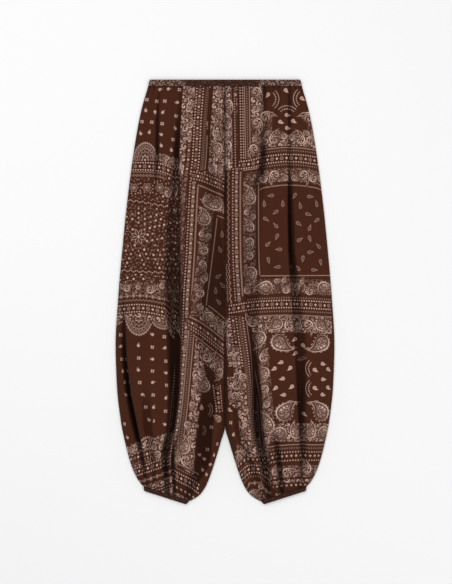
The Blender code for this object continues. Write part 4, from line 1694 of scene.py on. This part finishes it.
def casing_path(half):
    """Points round a flattened casing, in mid-wall: across, up, and the normal's parts."""
    radius = (CASING_INSIDE + CASING_WALL) / 2
    straight = half - radius - CASING_WALL / 2
    bottom = CASING_WALL / 2
    front = np.linspace(-straight, straight, round(2 * straight / CASING_STEP))
    back = np.linspace(straight, -straight, CASING_BACK_POINTS)
    turn = np.linspace(np.pi / 2, -np.pi / 2, CASING_END_POINTS)[1:-1]
    wander, wander_pace = RIPPLE_WANDER
    swell, swell_pace = RIPPLE_SWELL
    wave = np.sin(2 * np.pi * front / RIPPLE_PITCH + wander * np.sin(front * wander_pace))
    wave *= 1 - swell + swell * np.sin(front * swell_pace)
    fade = np.clip((straight - np.abs(front)) / RIPPLE_PITCH, 0, 1)
    top = bottom + 2 * radius + RIPPLE * fade * wave
    round_x, round_up = np.cos(turn), np.sin(turn)
    parts = (
        (front, top, 0 * front, 0 * front + 1),
        (straight + radius * round_x, bottom + radius * (1 + round_up), round_x, round_up),
        (back, 0 * back + bottom, 0 * back, 0 * back - 1),
        (-straight - radius * round_x, bottom + radius * (1 - round_up), -round_x, -round_up),
    )
    return np.concatenate([np.stack(part, axis=1) for part in parts])


def lengths_round(points):
    """How far along a closed line each of its points is, and how long the line is."""
    closed = np.concatenate([points, points[:1]])
    steps = np.linalg.norm(np.diff(closed, axis=0), axis=1)
    return np.concatenate([[0], np.cumsum(steps)])


def add_casing(name, middle, across, down, halves, height, ghost_of):
    """A flattened ring of cloth over elastic. Its seam edge is at the start of down."""
    half_seam, half_edge = halves
    path = casing_path(half_seam)
    share, out, puff = np.array(CASING_SECTION).T
    place, level, normal_across, normal_up = path.T[..., None]
    reach = out * CASING_WALL / 2 + CASING_PUFF * puff * np.maximum(normal_up, 0)
    narrowing = 1 + (half_edge / half_seam - 1) * share
    x_place = (place + reach * normal_across) * narrowing
    flat = middle + x_place[..., None] * across + (share * height)[:, None] * down
    points = np.concatenate([flat, (level + reach * normal_up)[..., None]], axis=2)

    index, corner = np.indices(points.shape[:2])
    count, size = index.shape
    lengths, girth = lengths_round(path[:, :2]), lengths_round(points[0])
    corner_points = []
    corner_places = []
    for step, turn in CORNERS:
        corner_points.append((index + step) % count * size + (corner + turn) % size)
        corner_places.append(np.stack([lengths[index + step], girth[corner + turn]], axis=-1))
    faces = np.stack(corner_points, axis=-1).reshape(-1, 4)
    places = np.stack(corner_places, axis=2).reshape(-1, 4, 2)
    fitted = places / np.array([lengths[-1], girth[-1]])
    fitted = fitted * (1 - 2 * BAKE_GAP) + BAKE_GAP
    maps = {"print": places / STEP, "cloth": places, "OFBake": fitted}
    ghost = np.where(normal_up > FACING_UP, ghost_of(flat[..., 0]), BACK_GHOST)
    attributes = {"ghost": ghost, "painted_shade": np.zeros_like(ghost)}
    turned = across[0] * down[1] - across[1] * down[0] < 0
    return add_piece(
        name, points.reshape(-1, 3), faces, maps, attributes,
        [MATERIALS["casing"]], np.zeros(len(faces)), turned,
    )


def add_waistband():
    across, up = np.array([1.0, 0.0]), np.array([0.0, 1.0])
    places, strengths = zip(*WAIST_GHOST)
    return add_casing(
        "waistband", np.array([0.0, WAIST_SEAM]), across, up,
        (WAIST_SEAM_HALF, WAIST_TOP_HALF), WAIST_TOP - WAIST_SEAM,
        lambda x: np.interp(x / MM, places, strengths),
    )


def add_cuff(name, side):
    """The ankle casing, along the last line of the leg and one seam's gap below it."""
    outer, inner, _ = leg_lines(np.array([float(LENGTH)]), side)
    across = (inner[0] - outer[0]) / np.linalg.norm(inner[0] - outer[0])
    down = np.array([-across[1], across[0]])
    down = down * np.sign(-down[1])
    return add_casing(
        name, (outer[0] + inner[0]) / 2 + down * SEAM_GAP, across, down,
        (CUFF_SEAM_WIDTH / 2, CUFF_EDGE_WIDTH / 2), CUFF_HEIGHT,
        lambda x: np.full_like(x, CUFF_GHOST),
    )


MATERIALS = {kind: print_material(kind) for kind in KINDS}
MATERIALS["inside"] = cloth_material("cloth_inside", lambda tree: INSIDE)
MATERIALS["casing"] = cloth_material("casing", casing_colour)

PIECES = {
    "right_front": add_front("right_front", RIGHT, RIGHT_FOLDS),
    "left_front": add_front("left_front", LEFT, LEFT_FOLDS),
    "right_back": add_back("right_back", RIGHT),
    "left_back": add_back("left_back", LEFT),
    "waistband": add_waistband(),
    "right_cuff": add_cuff("right_cuff", RIGHT),
    "left_cuff": add_cuff("left_cuff", LEFT),
}

# --------------------------------------------------------------- stage, light and camera

PHOTO_HEIGHT = 584
PHOTO_MIDDLE = (226, 292)
PANTS_MIDDLE = (225, 292)
LENS = 85
SENSOR = 36
FLOOR_SIZE = 6.0
FLOOR_DROP = 0.5 * MM
ROOM_LIGHT = 0.62
# Lights: name, place, size and power
LIGHTS = (("key", (-1.0, 1.0, 2.6), 1.8, 28), ("fill", (1.6, -0.8, 2.4), 2.0, 18))


def add_object(name, data):
    made = bpy.data.objects.new(name, data)
    bpy.context.scene.collection.objects.link(made)
    return made


def add_floor():
    mesh = bpy.data.meshes.new("floor")
    ends = (-FLOOR_SIZE, FLOOR_SIZE)
    corners = [(x, y, 0) for x in ends for y in ends]
    mesh.from_pydata(corners, [], [(0, 2, 3, 1)])
    mesh.materials.append(new_material("floor", FLOOR_LOOK)[0])
    floor = add_object("floor", mesh)
    floor.location.z = -FLOOR_DROP


def add_light(name, place, size, power):
    """A square light that faces the middle of the pants."""
    light = bpy.data.lights.new(name, "AREA")
    light.size = size
    light.energy = power
    made = add_object(name, light)
    made.location = place
    x, y, z = place
    made.rotation_euler = (np.arctan2(np.hypot(x, y), z), 0, np.arctan2(x, -y))


def add_camera():
    camera = bpy.data.cameras.new("camera")
    camera.lens = LENS
    camera.sensor_width = SENSOR
    made = add_object("camera", camera)
    beside = (PHOTO_MIDDLE[0] - PANTS_MIDDLE[0]) * STEP
    made.location = (beside, 0, PHOTO_HEIGHT * STEP * LENS / SENSOR)
    bpy.context.scene.camera = made


def light_the_room():
    world = bpy.data.worlds.new("room")
    world.use_nodes = True
    background = world.node_tree.nodes["Background"]
    background.inputs["Color"].default_value = (1, 1, 1, 1)
    background.inputs["Strength"].default_value = ROOM_LIGHT
    bpy.context.scene.world = world


add_floor()
add_camera()
light_the_room()
for light in LIGHTS:
    add_light(*light)
bpy.context.scene.view_settings.view_transform = "Standard"
